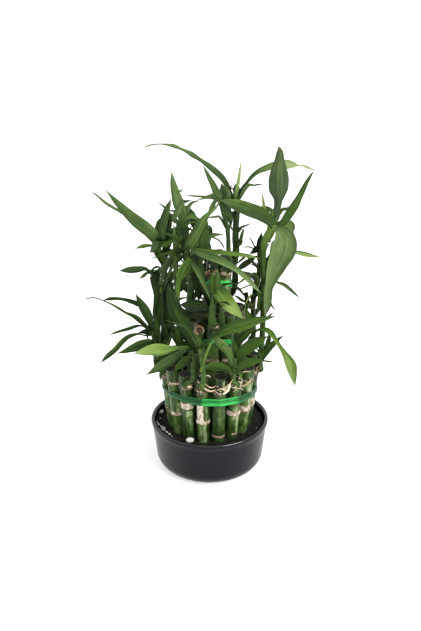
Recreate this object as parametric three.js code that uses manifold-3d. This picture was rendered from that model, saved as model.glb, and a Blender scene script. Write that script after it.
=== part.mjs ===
// Lucky bamboo: three tiers of cut canes tied with green ribbon, standing in a black bowl.
// Millimetres, +Z up, origin on the surface under the middle of the bowl. -Y is the front.

import * as THREE from 'three';
import { mergeVertices } from 'three/addons/utils/BufferGeometryUtils.js';
import Module from 'manifold-3d';

const wasm = await Module();
wasm.setup();

// Bowl: the lip stands a little proud of the wall, and the wall leans out towards it
const rimRadius = 55;
const bowlHeight = 46.5;
const lipHeight = 4.5;
const lipProud = 1.3;
const lipStep = 1;
const lipRound = 1.2;
const lipTaper = 0.2;
const lipInnerDepth = 2.4;
const wallThickness = 2.6;
const floorThickness = 3.5;
const wallFootRadius = 50.5;
const footRound = 12;
const footRoundTurns = [25, 50, 90];
const innerRound = 2.8;
const bowlSides = 40;

// Soil bed, which fills the bowl round the pit that the canes stand in
const bedTop = 41.5;
const holeClearance = 0.35;
const pitDepthUnderCanes = 0.9;

// Canes: each tier is a ring of canes, longer towards the middle. A tier's nodes are the heights of its tan
// rings, which stand a little proud of the cane between a lower and an upper slope.
const caneSides = 7;
const caneFoot = 8;
const tiers = {
  outer: {
    count: 16, start: 260.5, ring: 30.6, flare: 0.098, lean: 0,
    radius: 5.7, top: 107, nodes: [55, 95],
  },
  middle: {
    count: 9, start: 262, ring: 19, flare: 0, lean: 0.045,
    radius: 5.8, top: 156, nodes: [118, 146],
  },
  inner: {
    count: 4, start: 225, ring: 7.5, flare: 0.002, lean: 0.045,
    radius: 5.1, top: 202, nodes: [168, 191],
  },
};
const footTaper = 0.3;
const nodeProud = 0.4;
const nodeNeck = 0.1;
const nodeBelow = 1.6;
const nodeAbove = 1.2;

// Ribbon ties, one round each tier
const ribbonWidth = 5;
const ribbonThickness = 1;
const ribbonGap = 0.4;
const ties = { outer: 80, middle: 130, inner: 180 };
const tieTilt = 0.04;
const ribbonStep = 22.5;

// Loose pebbles on the soil: angle and distance from the middle, size, turn, and the gap under them
const pebbleGap = 0.3;
const pebbles = {
  white: { angle: 246.5, radius: 44.2, size: [7.5, 5.5, 4.6], turn: 20 },
  left: { angle: 165, radius: 47.6, size: [5, 4, 3], turn: 70 },
  frontLeft: { angle: 204, radius: 46.8, size: [7, 4.4, 2.8], turn: 105 },
};

// Leaves and stems
const bladeThickness = 0.7;
const usualBelly = 0.42;
const leafSamples = 40;
const fineLeafWidth = 3.6;
const bladeFullness = 0.9;
const bladeNeck = 0.34;
const stationsFor = {
  fine: [0, 0.45],
  fill: [0, 0.3, 0.65],
  usual: [0, 0.22, 0.48, 0.76],
  long: [0, 0.14, 0.32, 0.5, 0.68, 0.86],
};
const rootWidth = 2.4;
const rootOffset = 0.7;
const stemSides = 5;
const stemFootRadius = 2.4;
const stemHeadRadius = 1.5;
const stemGap = 0.5;
const stemBendRise = 0.6;
const stemFacing = new THREE.Vector3(0.3, 0.9, 0.1);
const frontAngle = 270;
const facings = {
  up: new THREE.Vector3(0, 0, 1),
  front: new THREE.Vector3(0, -1, 0.35),
  frontUp: new THREE.Vector3(0, -0.7, 0.7),
  right: new THREE.Vector3(0.8, -0.5, 0.3),
};

// Filling leaves stand on the upper stem from the lowest share of its length to its crown. Turns and rises
// are in degrees, and each value varies by half its spread both ways.
const filling = {
  lowest: 0.55,
  turnShare: 0.618,
  turnStart: 0.3,
  turnSpread: 16,
  rise: 20,
  riseGain: 45,
  riseSpread: 14,
  droop: 50,
  droopSpread: 40,
  lengthSpread: 0.5,
  widthSpread: 0.4,
  reach: 55,
  firstSeed: 101,
  seedStep: 7,
};

// Leafy shoots. Root: which cane, the side it faces and the height it grows at. Stem: points from there
// to the crown. Each leaf leaves the stem at a share of its length and passes through its path's points.
// Filling leaves point between two angles, and those that would run into a neighbour are skipped.
const shoots = {
  rightTall: {
    root: { tier: 'outer', cane: 5, side: 5, height: 99.5 },
    stem: [
      [48, 9, 107], [45, 6, 130], [45, 4, 171],
      [45, 2, 197], [47, 0, 215], [53, 0, 227], [57, 0, 231],
    ],
    leaves: [
      { at: 0.98, path: [[57, -2, 249], [57, -3, 270], [55, -6, 299]],
        width: 17, face: 'front', belly: 0.57 },
      { at: 0.98, path: [[51, -4, 242], [34, -8, 249], [8, -12, 255]],
        width: 11, face: 'frontUp', belly: 0.5 },
      { at: 0.99, path: [[69, 4, 245], [77, 6, 260], [88, 10, 276]], width: 8.5, face: 'front' },
      { at: 0.97, path: [[65, -3, 235], [66, -13, 226], [58, -21, 203], [51, -22, 180], [47, -22, 156]],
        width: 22, face: 'front', belly: 0.36 },
      { at: 0.95, path: [[50, 6, 241], [46, 8, 247], [45, 10, 258]], width: 3, face: 'front' },
      { at: 0.98, path: [[66, 2, 249]], width: 2.5, face: 'front' },
      { at: 0.62, path: [[71, 10, 206], [97, 14, 198]], width: 4.5 },
      { at: 0.45, path: [[58, 2, 179], [69, 0, 175], [80, -4, 166]], width: 5 },
      { at: 0.35, path: [[59, -2, 152]], width: 3 },
    ],
  },
  rightMiddle: {
    root: { tier: 'outer', cane: 6, side: 20, height: 99.5 },
    stem: [[41, 26, 107], [42, 17, 129], [41, 12, 153], [43, 12, 173], [43, 12, 194]],
    leaves: [
      { at: 0.98, path: [[35, 6, 199], [25, 0, 193]], width: 8.5, face: 'frontUp' },
      { at: 0.82, path: [[39, 8, 186], [23, 0, 178]], width: 5, face: 'frontUp' },
      { at: 0.78, path: [[35, 4, 176], [22, 0, 172]], width: 2.5 },
      { at: 0.6, path: [[30, 4, 158], [22, 2, 167]], width: 3.5 },
      { at: 0.95, path: [[42, 10, 206], [45, 10, 222]], width: 6, face: 'front' },
      { at: 0.99, path: [[33, 8, 210], [26, 4, 210]], width: 2.5 },
    ],
    fill: { count: 5, from: 60, to: 150, length: 34, width: 8, skip: [1, 2] },
  },
  topLeft: {
    root: { tier: 'inner', cane: 1, side: 300, height: 195.4 },
    stem: [[17, -14, 199], [16, -11, 223], [12, -8, 241], [10, -7, 250]],
    leaves: [
      { at: 0.98, path: [[0, -6, 269], [-7, -8, 286]], width: 5.5, face: 'front' },
      { at: 0.98, path: [[10, -8, 260], [10, -8, 269]], width: 7, face: 'front' },
      { at: 0.98, path: [[2, -6, 258], [-19, -10, 259]], width: 4.5 },
      { at: 0.98, path: [[2, -12, 253], [-2, -16, 244]], width: 4 },
      { at: 0.85, path: [[4, -10, 241], [-4, -12, 241]], width: 2.5 },
    ],
    fill: { count: 2, from: 80, to: 130, length: 26, width: 6 },
  },
  topRight: {
    root: { tier: 'inner', cane: 2, side: 20, height: 195.4 },
    stem: [[22, 8, 199], [24, 6, 221], [23, 5, 241], [23, 4, 250]],
    leaves: [
      { at: 0.98,
        path: [[13, 4, 270], [-1, 2, 283], [-16, 0, 292], [-28, 0, 298], [-40, 0, 299], [-54, 0, 296]],
        width: 6.5, face: 'frontUp', belly: 0.35 },
      { at: 0.98, path: [[25, 4, 269], [27, 4, 285]], width: 3.5, face: 'right' },
      { at: 0.98,
        path: [[31, 10, 264], [40, 16, 274], [56, 22, 279], [69, 24, 278], [80, 24, 278], [92, 24, 273]],
        width: 9, face: 'front', belly: 0.62 },
      { at: 0.98, path: [[33, 6, 263], [46, 4, 265]], width: 4.5 },
      { at: 0.75, path: [[37, 2, 233]], width: 2 },
    ],
    fill: { count: 3, from: 60, to: 110, length: 30, width: 6.5, skip: [0] },
  },
  centreLeft: {
    root: { tier: 'middle', cane: 8, side: 200, height: 150.5 },
    stem: [[-15, -18, 148], [-15, -22, 165], [-14, -22, 180], [-18, -22, 205], [-19, -22, 210]],
    leaves: [
      { at: 0.98, path: [[-11, -24, 226], [-2, -26, 244], [8, -28, 257]],
        width: 9, face: 'front', belly: 0.35 },
      { at: 0.98, path: [[5, -30, 212], [18, -38, 208], [29, -42, 198], [43, -44, 184]],
        width: 5.5, face: 'frontUp' },
      { at: 0.98, path: [[0, -26, 217], [17, -28, 217], [38, -28, 212]], width: 5, face: 'frontUp' },
      { at: 0.98, path: [[-5, -20, 224], [-3, -20, 242]], width: 8.5, face: 'front' },
      { at: 0.98, path: [[-1, -24, 230], [13, -26, 230]], width: 5, face: 'frontUp' },
      { at: 0.95, path: [[-11, -36, 206], [0, -39, 179]], width: 3.5 },
      { at: 0.98, path: [[-18, -32, 211], [-21, -36, 195]], width: 9, face: 'front' },
    ],
    fill: { count: 3, from: 120, to: 200, length: 30, width: 7, skip: [0] },
  },
  upperLeft: {
    root: { tier: 'middle', cane: 7, side: 185, height: 150.5 },
    stem: [[-22, -2, 148], [-27, -6, 166], [-29, -8, 193], [-27, -8, 216], [-25, -8, 225]],
    leaves: [
      { at: 0.98, path: [[-26, -10, 248], [-28, -10, 263], [-31, -10, 278]], width: 11.5, face: 'front' },
      { at: 0.98, path: [[-16, -6, 248], [-8, -6, 253]], width: 3 },
      { at: 0.98, path: [[-22, -4, 246], [-16, -2, 253]], width: 2 },
      { at: 0.95, path: [[-15, -10, 243], [-9, -12, 239]], width: 6, face: 'frontUp' },
      { at: 0.95, path: [[-14, -14, 237], [-6, -16, 240]], width: 3 },
      { at: 0.98, path: [[-22, -4, 241], [-22, -2, 262]], width: 8, face: 'front' },
    ],
    fill: { count: 5, from: 60, to: 150, length: 34, width: 7.5, skip: [1, 2, 3, 4] },
  },
  farLeft: {
    root: { tier: 'outer', cane: 11, side: 160, height: 99.5 },
    stem: [[-42, 24, 107], [-43, 17, 135], [-41, 8, 161], [-41, 6, 191], [-44, 6, 211]],
    leaves: [
      { at: 0.98, path: [[-51, 2, 226], [-59, -2, 233], [-73, -9, 252], [-86, -14, 270]],
        width: 12, face: 'front' },
      { at: 0.98, path: [[-69, 12, 238], [-90, 16, 247], [-103, 20, 256]], width: 4 },
      { at: 0.96, path: [[-56, 4, 212], [-65, 2, 210]], width: 4, face: 'frontUp' },
      { at: 0.98, path: [[-48, 0, 213], [-51, -2, 208]], width: 7, face: 'front' },
      { at: 0.98, path: [[-34, 0, 219], [-19, -4, 222]], width: 6, face: 'frontUp' },
      { at: 0.97, path: [[-40, 0, 232], [-32, -4, 256]], width: 8, face: 'front' },
      { at: 0.97, path: [[-38, 0, 238], [-44, 0, 252]], width: 3, face: 'front' },
    ],
    fill: { count: 6, from: 50, to: 130, length: 40, width: 8 },
  },
  leftCrown: {
    root: { tier: 'outer', cane: 12, side: 172, height: 99.5 },
    stem: [[-47, 9, 110], [-48, 10, 154], [-50, 8, 174], [-53, 6, 189]],
    leaves: [
      { at: 0.98, path: [[-65, 4, 192], [-81, 0, 187]], width: 6.5, face: 'frontUp' },
      { at: 0.98, path: [[-56, 2, 187], [-62, 0, 183]], width: 3.5, face: 'frontUp' },
      { at: 0.97, path: [[-52, 2, 178], [-46, 0, 165]], width: 7, face: 'front' },
      { at: 0.98, path: [[-47, 8, 183], [-42, 8, 177]], width: 2 },
      { at: 0.98, path: [[-47, 12, 191], [-42, 14, 188]], width: 2.5 },
    ],
    fill: { count: 4, from: 50, to: 110, length: 30, width: 6, skip: [3] },
  },
  leftLow: {
    root: { tier: 'outer', cane: 13, side: 193, height: 99.5 },
    stem: [[-47, -9, 100], [-49, -6, 116], [-52, -4, 131]],
    leaves: [
      { at: 0.98, path: [[-58, -4, 155], [-65, -4, 170]], width: 8, face: 'front' },
      { at: 0.98, path: [[-60, 0, 152], [-64, 0, 160], [-75, 0, 165], [-86, 0, 166], [-95, 0, 162]],
        width: 4 },
      { at: 0.98, path: [[-62, -2, 143], [-73, -2, 149], [-94, -2, 164], [-113, -2, 164]], width: 4 },
      { at: 0.96, path: [[-62, -6, 141], [-75, -8, 138], [-90, -10, 132]], width: 4, face: 'frontUp' },
      { at: 0.96, path: [[-59, -10, 134], [-69, -18, 138], [-79, -28, 134], [-93, -38, 121]], width: 6.5,
        face: 'frontUp' },
      { at: 0.9, path: [[-62, -10, 127], [-71, -14, 124], [-83, -18, 118]], width: 7.5, face: 'front' },
      { at: 0.96, path: [[-58, -2, 134], [-64, 0, 132]], width: 6, face: 'front' },
    ],
  },
  frontLeft: {
    root: { tier: 'outer', cane: 15, side: 262, height: 99.5 },
    stem: [[-20, -43, 107], [-18, -41, 125], [-19, -40, 133]],
    leaves: [
      { at: 0.98, path: [[-33, -46, 137], [-45, -52, 139], [-62, -62, 140]], width: 10, face: 'front' },
      { at: 0.95, path: [[-34, -54, 132], [-54, -64, 121]], width: 7.5, face: 'front' },
    ],
    fill: { count: 3, from: 60, to: 130, length: 30, width: 6, skip: [0] },
  },
  frontMiddle: {
    root: { tier: 'outer', cane: 0, side: 268, height: 99.5 },
    stem: [[-6, -48, 104], [-6, -47, 115], [-6, -46, 122]],
    leaves: [
      { at: 0.98, path: [[-14, -46, 149], [-22, -44, 169], [-32, -42, 187]], width: 8, face: 'front' },
      { at: 0.98, path: [[-12, -50, 148], [-20, -50, 157], [-38, -50, 165]], width: 3.5 },
      { at: 0.98, path: [[-4, -50, 132], [4, -52, 146], [24, -54, 162], [53, -54, 170]], width: 10,
        face: 'front', belly: 0.6 },
    ],
    fill: { count: 2, from: 60, to: 150, length: 24, width: 6 },
  },
  frontRight: {
    root: { tier: 'outer', cane: 2, side: 280, height: 99.5 },
    stem: [[22, -42, 106], [22, -43, 113], [23, -42, 121]],
    leaves: [
      { at: 0.98, path: [[16, -46, 135], [4, -48, 148]], width: 7, face: 'front' },
      { at: 0.98, path: [[34, -42, 139], [49, -40, 145]], width: 9, face: 'front' },
      { at: 0.98, path: [[33, -52, 129], [44, -60, 132]], width: 7, face: 'front' },
      { at: 0.95, path: [[8, -51, 119], [-5, -53, 117]], width: 8, face: 'front' },
    ],
    fill: { count: 3, from: 30, to: 120, length: 26, width: 6, skip: [1] },
  },
  rightLow: {
    root: { tier: 'outer', cane: 4, side: 330, height: 99.5 },
    stem: [[46, -13, 99], [43, -14, 109], [42, -14, 121]],
    leaves: [
      { at: 0.95, path: [[52, -16, 126], [65, -16, 135]], width: 6, face: 'front' },
      { at: 0.98,
        path: [
          [40, -16, 139], [48, -18, 143], [55, -20, 140],
          [62, -32, 129], [70, -40, 116], [73, -46, 102],
        ],
        width: 7, face: 'right', belly: 0.8 },
      { at: 0.9, path: [[56, -14, 117]], width: 2 },
    ],
  },
  middleFront: {
    root: { tier: 'middle', cane: 0, side: 270, height: 150.5 },
    stem: [[4, -28, 152], [5, -32, 170], [5, -34, 185]],
    leaves: [
      { at: 0.95, path: [[17, -40, 176], [30, -42, 161]], width: 11, face: 'front' },
      { at: 0.9, path: [[5, -36, 196], [6, -36, 210]], width: 7, face: 'front' },
    ],
    fill: { count: 2, from: 300, to: 380, length: 26, width: 6 },
  },
  middleLeft: {
    root: { tier: 'middle', cane: 8, side: 265, height: 150.5 },
    stem: [[-7, -22, 153], [-5, -28, 162], [-5, -30, 169]],
    leaves: [
      { at: 0.98, path: [[-12, -36, 176], [-24, -40, 173]], width: 12, face: 'front' },
      { at: 0.98, path: [[-9, -30, 189], [-11, -26, 205]], width: 9, face: 'front' },
    ],
    fill: { count: 2, from: 180, to: 240, length: 28, width: 6 },
  },
  backRight: {
    root: { tier: 'outer', cane: 7, side: 40, height: 99.5 },
    stem: [[28, 40, 107], [38, 42, 124], [50, 38, 146], [57, 34, 166]],
    leaves: [],
    fill: { count: 8, from: -20, to: 80, length: 40, width: 8.5, skip: [1, 2, 3] },
  },
  backMiddle: {
    root: { tier: 'outer', cane: 8, side: 85, height: 99.5 },
    stem: [[7, 50, 104], [6, 54, 118], [4, 58, 134]],
    leaves: [],
    fill: { count: 8, from: 30, to: 150, length: 38, width: 9, skip: [7] },
  },
  backLeft: {
    root: { tier: 'outer', cane: 9, side: 112, height: 99.5 },
    stem: [[-13, 47, 106], [-16, 50, 140], [-18, 52, 176]],
    leaves: [],
    fill: { count: 9, from: 40, to: 140, length: 42, width: 9 },
  },
  backFarLeft: {
    root: { tier: 'outer', cane: 10, side: 135, height: 99.5 },
    stem: [[-31, 38, 104], [-38, 42, 122], [-44, 44, 138]],
    leaves: [],
    fill: { count: 9, from: 50, to: 150, length: 42, width: 8.5 },
  },
  innerRight: {
    root: { tier: 'middle', cane: 3, side: 15, height: 150.5 },
    stem: [[34, 12, 156], [33, 18, 163]],
    leaves: [],
    fill: { count: 3, from: 150, to: 175, length: 24, width: 6 },
  },
  innerBack: {
    root: { tier: 'middle', cane: 5, side: 100, height: 150.5 },
    stem: [[1, 28, 152], [0, 32, 184], [-2, 34, 214]],
    leaves: [],
    fill: { count: 8, from: 40, to: 160, length: 36, width: 8, skip: [3, 6, 7] },
  },
  topBack: {
    root: { tier: 'inner', cane: 3, side: 135, height: 195.4 },
    stem: [[-2, 15, 203], [-8, 19, 216], [-14, 20, 230]],
    leaves: [],
    fill: { count: 8, from: 90, to: 200, length: 34, width: 7.5, skip: [6, 7] },
  },
};

const caneMaterial = new THREE.MeshStandardMaterial({ color: 0x4a6b35, roughness: 0.45, metalness: 0 });
const bowlMaterial = new THREE.MeshStandardMaterial({ color: 0x2f3035, roughness: 0.4, metalness: 0 });
const soilMaterial = new THREE.MeshStandardMaterial({ color: 0x2b2722, roughness: 0.95, metalness: 0 });
const ribbonMaterial = new THREE.MeshStandardMaterial({ color: 0x2e8b3e, roughness: 0.3, metalness: 0 });
const pebbleMaterial = new THREE.MeshStandardMaterial({ color: 0xe6e2da, roughness: 0.6, metalness: 0 });
const leafMaterial = new THREE.MeshStandardMaterial({ color: 0x4b7331, roughness: 0.5, metalness: 0 });

const part = new THREE.Group();

function addPiece(name, geometry, material) {
  const mesh = new THREE.Mesh(geometry, material);
  mesh.name = name;
  part.add(mesh);
  return mesh;
}

const degrees = THREE.MathUtils.degToRad;
const mergeDistance = 1e-5;

// Repeatable random numbers from 0 to 1
function makeDraw(seed) {
  const multiplier = 16807;
  const modulus = 2147483647;
  let state = seed;
  return () => {
    state = (state * multiplier) % modulus;
    return state / modulus;
  };
}

function curveThrough(points) {
  return new THREE.CatmullRomCurve3(points, false, 'catmullrom', 0.5);
}

// Closed body through rings of equal point counts; an end ring may be a single point.
// A looped body joins its last ring to its first and has no ends.
function loft(rings, looped = false) {
  const places = [];
  const faces = [];
  const starts = [];
  for (const ring of rings) {
    starts.push(places.length / 3);
    for (const point of ring) {
      places.push(point.x, point.y, point.z);
    }
  }
  const bands = looped ? rings.length : rings.length - 1;
  for (let row = 0; row < bands; row += 1) {
    const after = (row + 1) % rings.length;
    const here = rings[row].length;
    const next = rings[after].length;
    const count = Math.max(here, next);
    for (let side = 0; side < count; side += 1) {
      const a = starts[row] + (side % here);
      const b = starts[row] + ((side + 1) % here);
      const c = starts[after] + ((side + 1) % next);
      const d = starts[after] + (side % next);
      if (here > 1) faces.push(a, c, b);
      if (next > 1) faces.push(a, d, c);
    }
  }
  if (!looped) {
    const last = rings.length - 1;
    for (let side = 1; side + 1 < rings[0].length; side += 1) {
      faces.push(starts[0], starts[0] + side, starts[0] + side + 1);
    }
    for (let side = 1; side + 1 < rings[last].length; side += 1) {
      faces.push(starts[last], starts[last] + side + 1, starts[last] + side);
    }
  }
  const geometry = new THREE.BufferGeometry();
  geometry.setAttribute('position', new THREE.Float32BufferAttribute(places, 3));
  geometry.setIndex(faces);
  return geometry;
}

function sharedVertices(geometry) {
  const bare = geometry.clone();
  bare.deleteAttribute('normal');
  bare.deleteAttribute('uv');
  return mergeVertices(bare, mergeDistance);
}

function toSolid(geometry) {
  const merged = sharedVertices(geometry);
  const mesh = new wasm.Mesh({
    numProp: 3,
    vertProperties: new Float32Array(merged.attributes.position.array),
    triVerts: new Uint32Array(merged.index.array),
  });
  return new wasm.Manifold(mesh);
}

function toGeometry(solid) {
  const mesh = solid.getMesh();
  const geometry = new THREE.BufferGeometry();
  geometry.setAttribute('position', new THREE.Float32BufferAttribute(mesh.vertProperties, 3));
  geometry.setIndex(Array.from(mesh.triVerts));
  return geometry;
}

// Black bowl, one lathe-turned shell with a proud lip and a rounded foot
function bowlProfile() {
  const footRadius = wallFootRadius - footRound;
  const inner = rimRadius - lipProud - wallThickness;
  const innerFoot = wallFootRadius - wallThickness;
  const points = [[0, 0], [footRadius, 0]];
  for (const turn of footRoundTurns) {
    const angle = degrees(turn);
    points.push([
      footRadius + footRound * Math.sin(angle),
      footRound * (1 - Math.cos(angle)),
    ]);
  }
  points.push([rimRadius - lipProud, bowlHeight - lipHeight - lipStep]);
  points.push([rimRadius - lipTaper, bowlHeight - lipHeight]);
  points.push([rimRadius, bowlHeight - lipRound]);
  points.push([rimRadius - lipRound, bowlHeight]);
  points.push([rimRadius - wallThickness, bowlHeight - lipTaper]);
  points.push([inner, bowlHeight - lipInnerDepth]);
  points.push([innerFoot, footRound]);
  points.push([innerFoot - innerRound, floorThickness + innerRound]);
  points.push([footRadius, floorThickness]);
  points.push([0, floorThickness]);
  return points.map(([radius, height]) => new THREE.Vector2(radius, height));
}

function turned(profile, sides) {
  const geometry = new THREE.LatheGeometry(profile, sides);
  geometry.rotateX(Math.PI / 2);
  return geometry;
}

// Where a cane's axis stands at a height
function caneCentre(tier, index, height) {
  const set = tiers[tier];
  const angle = degrees(set.start + (360 / set.count) * index);
  const radius = set.ring + set.flare * (height - caneFoot);
  const shift = set.lean * (height - caneFoot);
  return new THREE.Vector3(
    radius * Math.cos(angle) + shift,
    radius * Math.sin(angle),
    height,
  );
}

// A cane's outline from foot to cut top: a slight taper, and a ring at each node
function caneProfile(tier) {
  const set = tiers[tier];
  const points = [[0, caneFoot], [set.radius - footTaper, caneFoot]];
  for (const height of set.nodes) {
    points.push([set.radius - nodeNeck, height - nodeBelow]);
    points.push([set.radius + nodeProud, height]);
    points.push([set.radius - nodeNeck, height + nodeAbove]);
  }
  points.push([set.radius, set.top]);
  points.push([0, set.top]);
  return points.map(([radius, height]) => new THREE.Vector2(radius, height - caneFoot));
}

// The profile stands on its foot, then leans along the line of its axis
function placeOnAxis(object, foot, head) {
  object.position.copy(foot);
  const along = head.clone().sub(foot).normalize();
  object.quaternion.setFromUnitVectors(new THREE.Vector3(0, 0, 1), along);
  object.updateMatrix();
}

function addCanes(tier) {
  const set = tiers[tier];
  for (let index = 0; index < set.count; index += 1) {
    const name = `cane_${tier}_${String(index + 1).padStart(2, '0')}`;
    const cane = addPiece(name, turned(caneProfile(tier), caneSides), caneMaterial);
    placeOnAxis(cane, caneCentre(tier, index, caneFoot), caneCentre(tier, index, set.top));
  }
}

// Soil bed: it fills the bowl round one plain pit, in which the bundle of canes stands
function bedGeometry() {
  const { ring, flare, radius: caneRadius } = tiers.outer;
  const innerFoot = wallFootRadius - wallThickness;
  const innerRim = rimRadius - lipProud - wallThickness;
  const wallRise = bowlHeight - lipInnerDepth - footRound;
  const wall = (height) => (
    innerFoot + ((innerRim - innerFoot) * (height - footRound)) / wallRise - holeClearance
  );
  const bundle = (height) => ring + flare * (height - caneFoot) + caneRadius + holeClearance;
  const pitFloor = caneFoot - pitDepthUnderCanes;
  const bedFloor = floorThickness + holeClearance;
  const profile = [
    [0, bedFloor],
    [wallFootRadius - footRound - holeClearance, bedFloor],
    [wall(footRound) - innerRound, bedFloor + innerRound],
    [wall(footRound), footRound + holeClearance],
    [wall(bedTop), bedTop],
    [bundle(bedTop), bedTop],
    [bundle(pitFloor), pitFloor],
    [0, pitFloor],
  ];
  return turned(profile.map(([radius, height]) => new THREE.Vector2(radius, height)), bowlSides);
}

// A ribbon runs straight from cane to cane and bends round the outside of each
function ribbonRings(tier) {
  const set = tiers[tier];
  const reach = set.radius + nodeProud + ribbonGap;
  const steps = Math.ceil(360 / set.count / ribbonStep);
  const rings = [];
  for (let index = 0; index < set.count; index += 1) {
    const middle = set.start + (360 / set.count) * index;
    for (let step = 0; step <= steps; step += 1) {
      const turn = degrees(middle + (360 / set.count) * (step / steps - 0.5));
      const out = new THREE.Vector3(Math.cos(turn), Math.sin(turn), 0);
      const centre = caneCentre(tier, index, ties[tier]);
      centre.z -= tieTilt * centre.x;
      const inner = centre.clone().addScaledVector(out, reach);
      const outerFace = centre.clone().addScaledVector(out, reach + ribbonThickness);
      const half = new THREE.Vector3(0, 0, ribbonWidth / 2);
      rings.push([
        inner.clone().sub(half),
        outerFace.clone().sub(half),
        outerFace.clone().add(half),
        inner.clone().add(half),
      ]);
    }
  }
  return rings;
}

function addTies() {
  for (const tier of Object.keys(ties)) {
    addPiece(`ribbon_${tier}`, loft(ribbonRings(tier), true), ribbonMaterial);
  }
}

function addPebbles() {
  for (const [name, pebble] of Object.entries(pebbles)) {
    const stone = sharedVertices(new THREE.IcosahedronGeometry(1, 1));
    const mesh = addPiece(`pebble_${name}`, stone, pebbleMaterial);
    const [width, depth, height] = pebble.size;
    mesh.scale.set(width / 2, depth / 2, height / 2);
    mesh.rotation.z = degrees(pebble.turn);
    const angle = degrees(pebble.angle);
    mesh.position.set(
      pebble.radius * Math.cos(angle),
      pebble.radius * Math.sin(angle),
      bedTop + pebbleGap + height / 2,
    );
  }
}

// A smooth line through the points, sampled evenly along its length
function smoothLine(points, count) {
  const curve = curveThrough(points);
  const samples = [];
  for (let step = 0; step <= count; step += 1) {
    samples.push({ place: curve.getPointAt(step / count), along: curve.getTangentAt(step / count) });
  }
  return samples;
}

// The upper face is set where the blade is widest and carried along the bend both ways
function setFaces(samples, facing, widestAt) {
  const across = (vector, along) => vector.clone().addScaledVector(along, -vector.dot(along)).normalize();
  const middle = Math.round(widestAt * (samples.length - 1));
  samples[middle].face = across(facing, samples[middle].along);
  for (let step = middle + 1; step < samples.length; step += 1) {
    samples[step].face = across(samples[step - 1].face, samples[step].along);
  }
  for (let step = middle - 1; step >= 0; step -= 1) {
    samples[step].face = across(samples[step + 1].face, samples[step].along);
  }
}

// Share of the full width at a share of the length: narrow at the stem, widest at the belly, then a point
function widthShare(share, belly) {
  const bent = share ** (Math.log(0.5) / Math.log(belly));
  const lance = Math.sin(Math.PI * bent) ** bladeFullness;
  return Math.max(lance, bladeNeck * (1 - share));
}

// Long bent leaves have more stations along them, fine and filling ones fewer
function leafKind(leaf) {
  if (leaf.path.length > 2) return 'long';
  if (leaf.width < fineLeafWidth) return 'fine';
  return leaf.fill ? 'fill' : 'usual';
}

// A blade's root is sunk in the stem, off its axis on the side that the leaf goes to
function leafGeometry(curve, leaf) {
  const belly = leaf.belly ?? usualBelly;
  const path = leaf.path.map((place) => new THREE.Vector3(...place));
  const base = curve.getPointAt(leaf.at);
  const stemAlong = curve.getTangentAt(leaf.at);
  const away = path[0].clone().sub(base);
  away.addScaledVector(stemAlong, -away.dot(stemAlong)).normalize();
  base.addScaledVector(away, rootOffset);
  const points = [base, ...path];
  const stations = stationsFor[leafKind(leaf)];
  const samples = smoothLine(points, leafSamples);
  setFaces(samples, facings[leaf.face ?? 'up'], belly);
  const rings = stations.map((share) => {
    const { place, along, face } = samples[Math.round(share * leafSamples)];
    const side = new THREE.Vector3().crossVectors(along, face);
    const half = share === 0 ? rootWidth / 2 : (leaf.width / 2) * widthShare(share, belly);
    const corner = (across, up) => place.clone()
      .addScaledVector(side, across * half)
      .addScaledVector(face, (up * bladeThickness) / 2);
    return [corner(-1, -1), corner(1, -1), corner(1, 1), corner(-1, 1)];
  });
  rings.push([samples[leafSamples].place]);
  return loft(rings);
}

// A stem starts square on the cane's side, a hair clear of it, and bends up at once.
// The cane's corners stand round it from the front one, at -Y.
function stemPoints(shoot) {
  const { tier, cane, side, height } = shoot.root;
  const centre = caneCentre(tier, cane, height);
  const corner = 360 / caneSides;
  const fromFront = side - frontAngle;
  const offCorner = fromFront - corner * Math.round(fromFront / corner);
  const reach = tiers[tier].radius * Math.cos(degrees(offCorner)) + stemGap;
  const out = new THREE.Vector3(Math.cos(degrees(side)), Math.sin(degrees(side)), 0);
  const foot = centre.clone().addScaledVector(out, reach);
  const bend = foot.clone().addScaledVector(out, stemFootRadius);
  bend.z += stemBendRise;
  return [foot, bend, ...shoot.stem.map((place) => new THREE.Vector3(...place))];
}

// A ring of the stem at each of its points; it thins towards its crown
function stemGeometry(points) {
  const curve = curveThrough(points);
  const last = points.length - 1;
  const samples = points.map((place, step) => ({ place, along: curve.getTangent(step / last) }));
  samples[0].along.setZ(0).normalize();
  setFaces(samples, stemFacing, 0.5);
  const rings = samples.map(({ place, along, face }, step) => {
    const side = new THREE.Vector3().crossVectors(along, face);
    const radius = THREE.MathUtils.lerp(stemFootRadius, stemHeadRadius, step / last);
    const ring = [];
    for (let corner = 0; corner < stemSides; corner += 1) {
      const turn = (2 * Math.PI * corner) / stemSides;
      ring.push(place.clone()
        .addScaledVector(side, radius * Math.cos(turn))
        .addScaledVector(face, radius * Math.sin(turn)));
    }
    return ring;
  });
  return loft(rings);
}

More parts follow.
